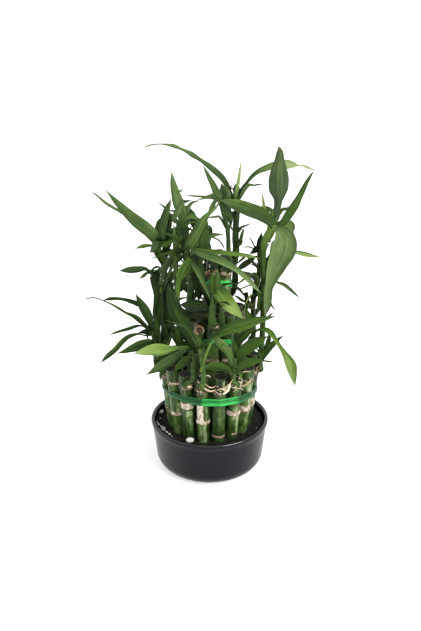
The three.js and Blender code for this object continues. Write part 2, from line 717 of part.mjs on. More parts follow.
// Filling leaves leave the upper stem in turn, rise and bend over. One that would reach past the
// side of the plant is turned to its other side.
function fillLeaves(fill, curve, seed) {
  const { count, from, to, length, width, skip = [] } = fill;
  const draw = makeDraw(seed);
  const vary = (middle, spread) => middle + spread * (draw() - 0.5);
  const leaves = [];
  for (let index = 0; index < count; index += 1) {
    const share = (index + 0.5) / count;
    const at = filling.lowest + (1 - filling.lowest) * share;
    const turnShare = (index * filling.turnShare + filling.turnStart) % 1;
    const turn = degrees(vary(from + (to - from) * turnShare, filling.turnSpread));
    const rise = degrees(vary(filling.rise + filling.riseGain * share, filling.riseSpread));
    const droop = degrees(vary(filling.droop, filling.droopSpread));
    const reach = length * vary(1, filling.lengthSpread);
    const breadth = width * vary(1, filling.widthSpread);
    if (skip.includes(index)) continue;
    const base = curve.getPointAt(at);
    const ahead = base.x + reach * Math.cos(rise) * Math.cos(turn);
    const inward = Math.abs(ahead) > filling.reach ? -1 : 1;
    const along = (angle, distance) => [
      base.x + inward * distance * Math.cos(angle) * Math.cos(turn),
      base.y + distance * Math.cos(angle) * Math.sin(turn),
      base.z + distance * Math.sin(angle),
    ];
    const path = [along(rise, reach / 2), along(rise - droop / 2, reach)];
    leaves.push({ at, path, width: breadth, fill: true });
  }
  return leaves;
}

// A shoot's stem and the blades that leave it, each still a solid of its own
function shootPieces(shoot, seed) {
  const points = stemPoints(shoot);
  const curve = curveThrough(points);
  const leaves = [...shoot.leaves];
  if (shoot.fill) leaves.push(...fillLeaves(shoot.fill, curve, seed));
  const blades = leaves.map((leaf) => toSolid(leafGeometry(curve, leaf)));
  return { stem: toSolid(stemGeometry(points)), blades };
}

function addShoots() {
  let seed = filling.firstSeed;
  for (const [name, shoot] of Object.entries(shoots)) {
    const { stem, blades } = shootPieces(shoot, seed);
    let solid = stem;
    for (const blade of blades) {
      solid = solid.add(blade);
    }
    addPiece(`shoot_${name}`, toGeometry(solid), leafMaterial);
    seed += filling.seedStep;
  }
}

addPiece('bowl', turned(bowlProfile(), bowlSides), bowlMaterial);
addPiece('soil_bed', bedGeometry(), soilMaterial);
for (const tier of Object.keys(tiers)) {
  addCanes(tier);
}
addTies();
addPebbles();
addShoots();

export default part;
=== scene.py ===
# Lucky bamboo: tiers of cut canes tied with green ribbon, leafy shoots, and a black bowl of grit.
# Metres, in the same frame as the solids; the tables below are in millimetres and degrees.
import math
import random
import bpy
from mathutils import Matrix, Vector, noise


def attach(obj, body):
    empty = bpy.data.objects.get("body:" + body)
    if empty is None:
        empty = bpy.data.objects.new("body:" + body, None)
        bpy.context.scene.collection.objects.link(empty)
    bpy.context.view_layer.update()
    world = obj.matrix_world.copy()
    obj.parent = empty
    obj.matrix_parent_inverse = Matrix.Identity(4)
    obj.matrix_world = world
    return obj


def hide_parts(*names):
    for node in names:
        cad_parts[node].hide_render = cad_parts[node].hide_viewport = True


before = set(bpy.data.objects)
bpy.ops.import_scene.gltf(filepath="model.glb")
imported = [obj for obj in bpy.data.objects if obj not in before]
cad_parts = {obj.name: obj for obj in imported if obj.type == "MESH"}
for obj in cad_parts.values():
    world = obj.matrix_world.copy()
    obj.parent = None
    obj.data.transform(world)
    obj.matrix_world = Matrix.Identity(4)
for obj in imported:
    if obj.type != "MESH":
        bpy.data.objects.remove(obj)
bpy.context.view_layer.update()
mm = 0.001


def linear(hexColour):
    channels = [int(hexColour[i:i + 2], 16) / 255 for i in (1, 3, 5)]
    return [c / 12.92 if c <= 0.04045 else ((c + 0.055) / 1.055) ** 2.4 for c in channels] + [1]


def setInputs(tree, node, inputs):
    for socket, value in inputs.items():
        if isinstance(value, bpy.types.Node):
            value = value.outputs[0]
        if isinstance(value, bpy.types.NodeSocket):
            tree.links.new(value, node.inputs[socket])
        else:
            node.inputs[socket].default_value = value


def addNode(tree, kind, inputs=None, stops=(), **settings):
    node = tree.nodes.new("ShaderNode" + kind)
    for name, value in settings.items():
        setattr(node, name, value)
    for number, (at, colour) in enumerate(stops):  # stops of a colour ramp: share and colour
        elements = node.color_ramp.elements
        element = elements[number] if number < 2 else elements.new(at)
        element.position = at
        element.color = linear(colour)
    setInputs(tree, node, inputs or {})
    return node


# A material, its tree and shader, and what its pattern reads: the place or attributes of a corner
def newMaterial(name, sockets, reads):
    material = bpy.data.materials.new(name)
    material.use_nodes = True
    tree = material.node_tree
    shader = tree.nodes["Principled BSDF"]
    setInputs(tree, shader, sockets)
    found = []
    for read in reads:
        if read == "place":
            found.append(addNode(tree, "TexCoord").outputs["Object"])
        else:
            output = "Vector" if read == "grain" else "Fac"
            found.append(addNode(tree, "Attribute", attribute_name=read).outputs[output])
    return material, tree, shader, *found


def deselectAll():
    if bpy.context.object and bpy.context.object.mode != "OBJECT":
        bpy.ops.object.mode_set(mode="OBJECT")
    bpy.ops.object.select_all(action="DESELECT")


def pick(piece):
    deselectAll()
    piece.select_set(True)
    bpy.context.view_layer.objects.active = piece


def editAll():
    bpy.ops.object.mode_set(mode="EDIT")
    bpy.ops.mesh.select_all(action="SELECT")


def smoothstep(low, high, value):
    share = min(max((value - low) / (high - low), 0), 1)
    return share * share * (3 - 2 * share)


def mix(a, b, share):
    return a + (b - a) * share


def ripple(x, y=0.0, z=0.0):
    return noise.noise(Vector((x, y, z)))  # smooth, -1 to 1, the same each run


# Camera, fitted to the bowl's rim and foot in the photograph
cameraView = {
    "place": (0.0008, -0.6028, 0.3911),
    "pitch": 21.96,  # degrees below the horizon
    "lens": 41.46,
    "sensorHeight": 36,
}
cameraData = bpy.data.cameras.new("camera")
cameraData.sensor_fit = "VERTICAL"
cameraData.sensor_height = cameraView["sensorHeight"]
cameraData.lens = cameraView["lens"]
cameraData.clip_start = 0.01
camera = bpy.data.objects.new("camera", cameraData)
camera.location = cameraView["place"]
camera.rotation_euler = (math.radians(90 - cameraView["pitch"]), 0, 0)
bpy.context.scene.collection.objects.link(camera)
bpy.context.scene.camera = camera

# Pale floor and soft studio light
studio = {
    "floorSize": 8,
    "floorColour": "#f6f6f4",
    "floorFibre": "#fafaf9",
    "floorGlow": 0.5,  # the floor is lit from below, so that shadows stay faint
    "skyLow": 1.02,  # strength of the air at the horizon
    "skyHigh": 0.74,  # dimmer overhead
    "skyChange": (0.1, 0.3),  # sines of the heights between which it dims
    "keyFrom": (0.85, -0.75, 0.85),  # soft key light from the right and front
    "keyStrength": 1.95,
    "keySpread": 34,  # degrees
}
bpy.context.scene.view_settings.view_transform = "Standard"
world = bpy.data.worlds.new("studioAir")
world.use_nodes = True
sky = world.node_tree
direction = addNode(sky, "TexCoord")
heights = addNode(sky, "SeparateXYZ", {0: direction.outputs["Generated"]})
dimming = addNode(sky, "MapRange", {0: heights.outputs["Z"],
                                    1: studio["skyChange"][0], 2: studio["skyChange"][1],
                                    3: studio["skyLow"], 4: studio["skyHigh"]})
setInputs(sky, sky.nodes["Background"], {"Color": (1, 1, 1, 1), "Strength": dimming})
bpy.context.scene.world = world
keyData = bpy.data.lights.new("keyLight", "SUN")
keyData.energy = studio["keyStrength"]
keyData.angle = math.radians(studio["keySpread"])
key = bpy.data.objects.new("keyLight", keyData)
key.location = studio["keyFrom"]
key.rotation_euler = Vector(studio["keyFrom"]).to_track_quat("Z", "Y").to_euler()
bpy.context.scene.collection.objects.link(key)

deselectAll()
bpy.ops.mesh.primitive_plane_add(size=studio["floorSize"])
floor = bpy.context.object
floor.name = "studioFloor"
# Backdrop paper: white and matt, without a shine
backdropPaper, tree, shader, place = newMaterial(
    "backdropPaper", {"Roughness": 0.9, "Emission Strength": studio["floorGlow"]}, ["place"])
fibre = addNode(tree, "TexNoise", {"Vector": place, "Scale": 900.0})  # fibres of about 1 mm
shade = addNode(tree, "ValToRGB", {0: fibre},
                stops=[(0, studio["floorColour"]), (1, studio["floorFibre"])])
setInputs(tree, shader, {"Base Color": shade})
floor.data.materials.append(backdropPaper)
print("camera, floor and lights are ready")


# Shapes that repeat are modelled once as a unit: its corners and faces. Each copy has its own mesh and
# goes to its place through a bend, which gives a corner's place, grain (across and along in mm, and a
# number that differs from copy to copy), tone and mark
def readUnit(name):
    piece = bpy.context.object
    piece.name = name
    unit = {
        "corners": [tuple(vertex.co) for vertex in piece.data.vertices],
        "faces": [tuple(face.vertices) for face in piece.data.polygons],
    }
    bpy.data.objects.remove(piece)
    return unit


# A thin slab: x from -1 to 1 across, y from 0 to 1 along, z from -1 to 1 through
def makeSlab(name, acrossFaces, alongFaces):
    deselectAll()
    bpy.ops.mesh.primitive_grid_add(x_subdivisions=acrossFaces, y_subdivisions=alongFaces, size=2)
    editAll()
    bpy.ops.transform.resize(value=(1, 0.5, 1), center_override=(0, 0, 0))
    bpy.ops.transform.translate(value=(0, 0.5, 0))
    bpy.ops.object.mode_set(mode="OBJECT")
    solidify = bpy.context.object.modifiers.new("thickness", "SOLIDIFY")
    solidify.thickness = 2
    solidify.offset = 0
    bpy.ops.object.modifier_apply(modifier=solidify.name)
    return readUnit(name)


onRim = 0.999  # share of a rod's radius or length from which a corner is on its rim


# A rod: radius 1 and z from 0 to 1, with rings along it, and insets on its top
def makeRod(name, sides, rings, capped=True, insets=()):
    deselectAll()
    ends = "NGON" if capped else "NOTHING"
    bpy.ops.mesh.primitive_cylinder_add(vertices=sides, radius=1, depth=1, end_fill_type=ends,
                                        location=(0, 0, 0))
    rod = bpy.context.object
    editAll()
    bpy.ops.transform.translate(value=(0, 0, 0.5))
    bpy.ops.mesh.select_all(action="DESELECT")
    bpy.ops.mesh.select_mode(type="EDGE")
    bpy.ops.object.mode_set(mode="OBJECT")
    for edge in rod.data.edges:  # those that run along the rod
        low, high = (rod.data.vertices[corner].co.z for corner in edge.vertices)
        edge.select = low != high
    bpy.ops.object.mode_set(mode="EDIT")
    bpy.ops.mesh.subdivide(number_cuts=rings)
    bpy.ops.mesh.select_mode(type="FACE")
    for width in insets:
        bpy.ops.mesh.select_all(action="DESELECT")
        bpy.ops.object.mode_set(mode="OBJECT")
        top = max(rod.data.polygons, key=lambda face: (len(face.vertices) > 4, face.center.z))
        top.select = True
        bpy.ops.object.mode_set(mode="EDIT")
        bpy.ops.mesh.inset(thickness=width)
    bpy.ops.object.mode_set(mode="OBJECT")
    return readUnit(name)


# A ball of radius 1, for grains and stones
def makeGrain(name, detail):
    deselectAll()
    bpy.ops.mesh.primitive_ico_sphere_add(subdivisions=detail, radius=1, location=(0, 0, 0))
    return readUnit(name)


def newShape():
    return {"corners": [], "faces": [], "finish": [], "grain": [], "tone": [], "mark": []}


def addCopy(shape, unit, bend, finish=0):
    start = len(shape["corners"])
    for corner in unit["corners"]:
        place, grain, tone, mark = bend(*corner)
        shape["corners"].append(place * mm)
        shape["grain"].append(grain)
        shape["tone"].append(tone)
        shape["mark"].append(mark)
    for face in unit["faces"]:
        shape["faces"].append([start + corner for corner in face])
        shape["finish"].append(finish(face) if callable(finish) else finish)


def ridesAndReplaces(piece, nodes):
    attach(piece, "root")
    if nodes:
        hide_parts(*nodes)


# sharpAngle in degrees, and weld, the distance at which corners are merged, in mm
def finishShape(name, shape, materials, nodes=(), sharpAngle=45, weld=0.012):
    mesh = bpy.data.meshes.new(name)
    mesh.from_pydata(shape["corners"], [], shape["faces"])
    for material in materials:
        mesh.materials.append(material)
    mesh.polygons.foreach_set("material_index", shape["finish"])
    grain = mesh.attributes.new("grain", "FLOAT_VECTOR", "POINT")
    grain.data.foreach_set("vector", [value for row in shape["grain"] for value in row])
    for key in ("tone", "mark"):
        mesh.attributes.new(key, "FLOAT", "POINT").data.foreach_set("value", shape[key])
    piece = bpy.data.objects.new(name, mesh)
    bpy.context.scene.collection.objects.link(piece)
    pick(piece)
    editAll()
    bpy.ops.mesh.remove_doubles(threshold=weld * mm)
    bpy.ops.mesh.normals_make_consistent(inside=False)
    bpy.ops.object.mode_set(mode="OBJECT")
    bpy.ops.object.shade_smooth_by_angle(angle=math.radians(sharpAngle))
    ridesAndReplaces(piece, nodes)


# Bowl
bowl = {
    "outline": [  # radius and height, from the middle of the foot round to the middle of the floor
        (26, 0.8), (27, 0), (38.5, 0), (41.6, 0.41), (44.5, 1.6), (47, 3.5), (48.9, 6), (50.1, 8.9),
        (50.6, 12), (51.4, 20), (52.3, 28), (53.2, 36), (53.7, 39.5), (54.1, 41.2), (54.5, 42.2),
        (54.8, 43.1), (54.95, 43.9), (55, 44.6), (54.95, 45.3), (54.65, 46), (54.1, 46.4), (53.4, 46.5),
        (52.8, 46.4), (52.3, 46.05), (51.9, 45.4), (51.2, 44.2), (50.9, 42), (50, 34), (48.6, 18),
        (47.9, 12), (46.8, 8.4), (44.4, 5.2), (40, 3.6), (36, 3.5),
    ],
    "sides": 96,
    "sharpAngle": 50,
    "black": "#06080e", "worn": "#0b0d16", "dust": "#50525a",
    "rimWear": (45, 46.2),  # heights between which handling has worn the rim smooth
}


# A ring is extruded and sized from point to point of the outline, and its two ends are filled
def turnOutline(name, outline, sides):
    deselectAll()
    radius, height = (value * mm for value in outline[0])
    bpy.ops.mesh.primitive_circle_add(vertices=sides, radius=radius, fill_type="NGON",
                                      location=(0, 0, 0))
    piece = bpy.context.object
    piece.name = name
    piece.data.name = name
    editAll()
    bpy.ops.transform.translate(value=(0, 0, height))
    bpy.ops.mesh.select_mode(type="EDGE")
    for nextRadius, nextHeight in outline[1:]:
        bpy.ops.mesh.extrude_edges_move(
            TRANSFORM_OT_translate={"value": (0, 0, nextHeight * mm - height)})
        share = nextRadius * mm / radius
        radius, height = nextRadius * mm, nextHeight * mm
        bpy.ops.transform.resize(value=(share, share, 1), center_override=(0, 0, height))
    bpy.ops.mesh.edge_face_add()
    bpy.ops.mesh.select_all(action="SELECT")
    bpy.ops.mesh.normals_make_consistent(inside=False)
    bpy.ops.object.mode_set(mode="OBJECT")
    return piece


# Polypropylene, injection moulded: satin black with soft highlights, fine moulding grain and some dust,
# and a shinier rim that catches a thin line of light
def makeBowlPlastic():
    plastic, tree, shader, place = newMaterial("mouldedPolypropylene", {"IOR": 1.49}, ["place"])
    cloud = addNode(tree, "TexNoise", {"Vector": place, "Scale": 42.0})  # clouds of about 24 mm
    body = addNode(tree, "ValToRGB", {0: cloud}, stops=[(0.3, bowl["black"]), (0.7, bowl["worn"])])
    speck = addNode(tree, "TexNoise", {"Vector": place, "Scale": 620.0, "Detail": 0.0})  # 1.6 mm apart
    dust = addNode(tree, "ValToRGB", {0: speck}, stops=[(0.8, "#000000"), (0.84, "#606060")])
    colour = addNode(tree, "Mix", {0: dust, 6: body, 7: linear(bowl["dust"])}, data_type="RGBA")
    height = addNode(tree, "SeparateXYZ", {0: place}).outputs["Z"]
    low, high = bowl["rimWear"]
    handled = addNode(tree, "MapRange", {0: height, 1: low * mm, 2: high * mm})
    sheen = addNode(tree, "TexNoise", {"Vector": place, "Scale": 110.0})  # handling marks of 9 mm
    satin = addNode(tree, "Math", {0: sheen, 1: 0.16, 2: 0.2}, operation="MULTIPLY_ADD")
    rough = addNode(tree, "Math", {0: handled, 1: -0.16, 2: satin}, operation="MULTIPLY_ADD")
    gloss = addNode(tree, "Math", {0: handled, 1: 0.8, 2: 0.2}, operation="MULTIPLY_ADD")
    pits = addNode(tree, "TexNoise", {"Vector": place, "Scale": 1100.0})  # moulding grain of 0.9 mm
    bump = addNode(tree, "Bump", {"Height": pits, "Distance": 0.05 * mm, "Strength": 0.35})
    setInputs(tree, shader, {"Base Color": colour.outputs[2], "Roughness": rough,
                             "Specular IOR Level": gloss, "Normal": bump})
    return plastic


bowlShell = turnOutline("bowl_shell", bowl["outline"], bowl["sides"])
bpy.ops.object.shade_smooth_by_angle(angle=math.radians(bowl["sharpAngle"]))
bowlShell.data.materials.append(makeBowlPlastic())
ridesAndReplaces(bowlShell, ["bowl"])
print("bowl is ready")


# Soil bed, with its loose grains
soil = {
    "outline": [(36, 3.9), (40, 4), (44, 5.6), (46.3, 8.6), (47.4, 12.3), (48.2, 18), (49.5, 34),
                (50.3, 41.2)],
    "surface": 41.2,
    "rings": 42,  # rings of the surface, about 1.2 mm apart
    "sides": 120,
    "unevenness": 0.9,
    "swells": (9, 0.6),  # the broad part of the unevenness: its size and share
    "crumbles": (2.6, 0.4),  # and the fine part
    "frontDip": 1.6,  # washed lower at the front
    "dipFrom": 10, "dipTo": 45,
    "tone": 0.12,
    "sharpAngle": 25,
}
grains = {
    "count": 1500,
    "reach": (33, 50), "reachPower": 0.8,
    "size": (0.5, 1.35), "sizePower": 2,
    "across": (0.7, 1.3), "tall": (0.5, 0.9),  # shares of the size
    "proud": 0.35,  # share of the half height above the bed
    "lumps": 0.25,
    "tones": [0.05, 0.1, 0.2, 0.25, 0.3, 0.4, 0.5],
    "seed": 5,
}


# Damp potting grit: dark, dull, with brown bark and a few pale grains
def makeSoilGrit():
    grit, tree, shader, place, tone = newMaterial("dampPottingGrit", {"Roughness": 0.93}, ["place", "tone"])
    crumbs = addNode(tree, "TexNoise", {"Vector": place, "Scale": 710.0})  # crumbs of 1.4 mm
    mottled = addNode(tree, "Math", {0: crumbs, 1: 0.3, 2: tone}, operation="MULTIPLY_ADD")
    colour = addNode(tree, "ValToRGB", {0: mottled},
                     stops=[(0.1, "#0d0b09"), (0.45, "#1d1915"), (0.62, "#2c221b"), (0.8, "#4a3a2c"),
                            (0.95, "#7a7468")])
    fine = addNode(tree, "TexNoise", {"Vector": place, "Scale": 2000.0, "Detail": 4.0})  # 0.5 mm
    bump = addNode(tree, "Bump", {"Height": fine, "Distance": 0.25 * mm, "Strength": 0.8})
    setInputs(tree, shader, {"Base Color": colour, "Normal": bump})
    return grit


# Washed stone: dull and pale, with grey and cream clouds
def makeStone(name, low, high, roughness):
    stone, tree, shader, place, tone = newMaterial(name, {"Roughness": roughness}, ["place", "tone"])
    clouds = addNode(tree, "TexNoise", {"Vector": place, "Scale": 555.0, "Detail": 4.0})  # 1.8 mm
    share = addNode(tree, "Math", {0: clouds, 1: 0.5, 2: tone}, operation="MULTIPLY_ADD")
    colour = addNode(tree, "ValToRGB", {0: share}, stops=[(0.1, low), (0.6, high)])
    pits = addNode(tree, "TexNoise", {"Vector": place, "Scale": 2850.0, "Detail": 3.0})  # 0.35 mm
    bump = addNode(tree, "Bump", {"Height": pits, "Distance": 0.08 * mm, "Strength": 0.6})
    setInputs(tree, shader, {"Base Color": colour, "Normal": bump})
    return stone


def surfaceHeight(x, y):
    size1, share1 = soil["swells"]
    size2, share2 = soil["crumbles"]
    rise = soil["unevenness"] * (share1 * ripple(x / size1, y / size1, 3)
                                 + share2 * ripple(x / size2, y / size2, 8))
    return soil["surface"] + rise - soil["frontDip"] * smoothstep(soil["dipFrom"], soil["dipTo"], -y)


# A grain or stone: a rounded ball pushed in and out, flattened, turned and set down
def placeStone(place, size, turn, lumps, tone, seed):
    spin = Matrix.Rotation(math.radians(turn), 3, "Z")

    def bend(x, y, z):
        lump = 1 + lumps * ripple(1.3 * x + seed * 3.1, 1.3 * y, 1.3 * z)
        local = Vector((x * size[0], y * size[1], z * size[2])) * lump
        return Vector(place) + spin @ local, (x, y, seed), tone, 0
    return bend


smallGrain = makeGrain("smallGrain", 1)
dice = random.Random(grains["seed"])
edge, surface = soil["outline"][-1]
inward = [(edge * (1 - ring / soil["rings"]), surface) for ring in range(soil["rings"])]
bed = turnOutline("bed", soil["outline"] + inward, soil["sides"])
for vertex in bed.data.vertices:
    if vertex.co.z > (surface - 0.1) * mm:
        vertex.co.z = surfaceHeight(vertex.co.x / mm, vertex.co.y / mm) * mm
bedUnit = readUnit("bed")
shape = newShape()
addCopy(shape, bedUnit, lambda x, y, z: (Vector((x, y, z)) / mm, (x / mm, y / mm, 0), soil["tone"], 0))
for number in range(grains["count"]):
    angle = dice.uniform(0, 2 * math.pi)
    radius = mix(*grains["reach"], dice.random() ** grains["reachPower"])
    x, y = radius * math.cos(angle), radius * math.sin(angle)
    size = mix(*grains["size"], dice.random() ** grains["sizePower"])
    half = [size * dice.uniform(*grains[share]) for share in ("across", "across", "tall")]
    tone = dice.choice(grains["tones"])
    place = (x, y, surfaceHeight(x, y) + half[2] * grains["proud"])
    addCopy(shape, smallGrain, placeStone(place, half, dice.uniform(0, 360), grains["lumps"], tone, number))
finishShape("soil_grit", shape, [makeSoilGrit()], ["soil_bed"], soil["sharpAngle"], weld=0.001)
print("soil is ready")

# Loose stones and chips on the bed
stones = {  # angle and distance from the middle, height, half size, turn, lowest and highest colour
    "white": (246.5, 44.2, 44.1, (3.75, 2.75, 2.3), 20, "#d9d6cf", "#f7f6f2"),
    "left": (165, 47.6, 43.3, (2.5, 2, 1.5), 70, "#b9b5a4", "#e3e0d2"),
    "frontLeft": (204, 46.8, 43.2, (3.5, 2.2, 1.4), 105, "#7f8474", "#b4b8a4"),
}
stoneStyle = {"lumps": 0.16, "tone": 0.1, "roughness": 0.62, "sharpAngle": 80}
smoothGrain = makeGrain("smoothGrain", 4)
for number, (name, stone) in enumerate(stones.items()):
    angle, distance, height, half, turn, low, high = stone
    place = (distance * math.cos(math.radians(angle)), distance * math.sin(math.radians(angle)), height)
    shape = newShape()
    addCopy(shape, smoothGrain,
            placeStone(place, half, turn, stoneStyle["lumps"], stoneStyle["tone"], number + 2))
    material = makeStone(f"washedStone_{number}", low, high, stoneStyle["roughness"])
    finishShape(f"stone_{name}", shape, [material], [f"pebble_{name}"],
                stoneStyle["sharpAngle"], weld=0.001)

chips = {
    "places": [  # x, y and half length
        (-43.5, -17, 1.3), (-41.6, -19.6, 1.5), (-39.4, -22.4, 1.7), (-37, -25.4, 1.6),
        (-34.6, -28.4, 1.4), (-49.5, -5.2, 1.4), (-47.8, -9.6, 1.8), (-45.6, -12.6, 1.1),
        (-48.2, 12.4, 1), (-47, 3, 0.8), (-15.4, -45.2, 1.5), (-20.6, -43.4, 1.1), (45, 9, 0.7),
        (43.6, -14.4, 0.8), (37, -27, 0.6), (20, -43.6, 0.7), (12, 45, 1), (-20, 42, 1.2),
        (38, 30, 0.9), (-34, 33, 1),
    ],
    "shares": [(0.9, 1.2), (0.45, 0.7), (0.35, 0.5)],  # of the half length, along, across and up
    "proud": 0.35,
    "turnSpread": 25,  # degrees from the line of the bowl's wall
    "lumps": 0.3,
    "tones": (0, 0.45),
    "low": "#b9b4a2", "high": "#f1efe6", "roughness": 0.75,
    "sharpAngle": 20,
    "seed": 11,
}
dice = random.Random(chips["seed"])
shape = newShape()
for number, (x, y, half) in enumerate(chips["places"]):
    place = (x, y, surfaceHeight(x, y) + half * chips["proud"])
    size = [half * dice.uniform(*share) for share in chips["shares"]]
    turn = math.degrees(math.atan2(y, x)) + 90 + dice.uniform(-chips["turnSpread"], chips["turnSpread"])
    addCopy(shape, smallGrain,
            placeStone(place, size, turn, chips["lumps"], dice.uniform(*chips["tones"]), number))
material = makeStone("limestoneChip", chips["low"], chips["high"], chips["roughness"])
finishShape("chips_pale", shape, [material], (), chips["sharpAngle"], weld=0.001)
print("stones are ready")


# Canes, in three rings: the angle of the first, the ring's radius at the canes' feet, how far a cane
# spreads and leans for each mm of height, its radius, its top, its two nodes, and where it comes in view
tiers = {
    "outer": {"count": 16, "start": 260.5, "ring": 30.6, "flare": 0.098, "lean": 0, "radius": 5.7,
              "top": 107, "nodes": (60, 95), "showsFrom": 38},
    "middle": {"count": 9, "start": 262, "ring": 19, "flare": 0, "lean": 0.045, "radius": 5.8,
               "top": 156, "nodes": (118, 146), "showsFrom": 84},
    "inner": {"count": 4, "start": 225, "ring": 7.5, "flare": 0.002, "lean": 0.045, "radius": 5.1,
              "top": 202, "nodes": (168, 191), "showsFrom": 132},
}
cane = {
    "foot": 8,
    "sides": 28, "rings": 84,
    "hiddenRings": 5,  # rings below what shows
    "rim": (0.1, 0.16, 0.3),  # insets of the cut end
    "plump": 0.2, "wobble": 0.16,
    "node": (0.42, 0.75),  # how far it stands out and its half width
    "swelling": (0.28, 4.5),  # the same for the swelling round a node
    "groove": (0.28, 0.7), "grooveRise": 1.4,  # and for the groove above it
    "nodeTilt": 0.5, "nodeWaver": 0.35,
    "nodeMark": (0.62, 0.9),  # strength and half width of the ring scar on a node
    "scarRelief": 0.12,
    "patchEdges": (8, 0.9, 0.5),  # soft edges of scars, and of the pale wax and painted highlights: degrees, and mm outside and inside
    "pithDip": 0.55, "pithUnevenness": 0.25, "rimDrop": 0.12,
    "pithEdge": (0.95, 0.6),  # shares of the radius between which the pith sinks
    "paintedLeafShadow": -0.1, "paintedLeafShadowSpan": (-6, 3),  # painted shadow of the leaves overhead, darker above the upper node
    "tone": (-0.13, 0.03),
    "barkDark": "#1c2a12", "bark": "#344a20", "barkLight": "#547037", "barkPale": "#9aa67e",
    "scarPale": "#dbd1c0", "scarPink": "#a79683", "scarBrown": "#6f5a42", "scarDark": "#38301c",
    "scarEdge": "#5a4a30",
    "patterns": [  # shift, width and length in mm, detail
        (0, 1.6, 26, 2), (7, 0.5, 9, 3), (3, 4, 8, 3),  # streaks, fine lines and clouds
        (11, 1.1, 1.5, 4), (17, 1.7, 3.6, 3),  # torn edges and papery patches of the scars
    ],
}
# For canes that have no row of their own in the tables below
caneDraws = {
    "lowerNode": (-9, 12), "upperNode": (-1.5, 1.5),  # shift from the tier's own
    "scarTall": (1.5, 6), "scarStrength": (0.5, 0.9),
    "huskCounts": [1, 2, 2, 3], "huskHalf": (20, 45), "huskDrop": (0, 3), "huskTall": (3, 6.5),
    "huskFlare": (0.6, 2), "huskTone": (-0.1, 0.3),
}

# Scars of fallen leaf sheaths, by cane: lowest and highest, middle angle and half angle, strength
caneScars = {
    ("outer", 0): [(62, 81.5, 244, 34, 1.0), (63, 79, 301, 5, 0.95), (61, 64, 270, 180, 0.7)],
    ("outer", 1): [(45, 48, 270, 180, 0.6)],
    ("outer", 2): [(66, 70.5, 270, 180, 0.8), (45.5, 47.5, 296, 30, 0.8)],
    ("outer", 3): [(65.5, 70.5, 270, 180, 0.8)],
    ("outer", 4): [(64, 71, 280, 180, 0.7)],
    ("outer", 14): [(61.5, 65, 270, 180, 0.7)],
    ("outer", 15): [(74, 80, 270, 180, 0.85)],
    ("outer", 13): [(58, 60, 250, 180, 0.5)],
    ("middle", 1): [(112, 116, 280, 50, 0.6)],
    ("middle", 0): [(114, 116.5, 270, 180, 0.5)],
    ("inner", 1): [(189.5, 191.5, 250, 30, 0.8)],
    ("inner", 0): [(188, 191, 290, 30, 0.6)],
}
# Heights of single canes' nodes
caneNodes = {
    ("outer", 0): (61.5, 95.5), ("outer", 1): (47, 93), ("outer", 2): (67, 96), ("outer", 3): (65, 95.5),
    ("outer", 4): (64, 96), ("outer", 14): (62.5, 94), ("outer", 15): (75, 95),
}
# Pale wax and painted highlights on the lit right-front side of the canes: lowest and highest, middle angle
# and half angle, how much paler
canePaleWaxAndHighlights = {
    ("outer", 0): [(38, 60, 262, 40, 0.26), (42, 62, 290, 14, 0.36), (66, 92, 300, 16, 0.2)],
    ("outer", 1): [(52, 78, 292, 14, 0.12), (97, 105, 306, 12, 0.5)],
    ("outer", 2): [(48, 68, 312, 15, 0.42), (62, 78, 288, 30, 0.2)],
    ("outer", 3): [(50, 62, 300, 12, 0.16), (58, 80, 320, 15, 0.22), (84, 94, 296, 22, 0.3)],
    ("outer", 4): [(62, 78, 290, 30, 0.36)],
    ("outer", 15): [(66, 72, 285, 30, 0.3), (50, 66, 290, 14, 0.16)],
    ("outer", 14): [(66, 74, 290, 24, 0.2)],
    ("inner", 1): [(150, 187, 285, 22, 0.22)],
}


def caneCentre(tier, index, height):
    ring = tiers[tier]
    angle = math.radians(ring["start"] + 360 / ring["count"] * index)
    radius = ring["ring"] + ring["flare"] * (height - cane["foot"])
    shift = ring["lean"] * (height - cane["foot"])
    return Vector((radius * math.cos(angle) + shift, radius * math.sin(angle), height))


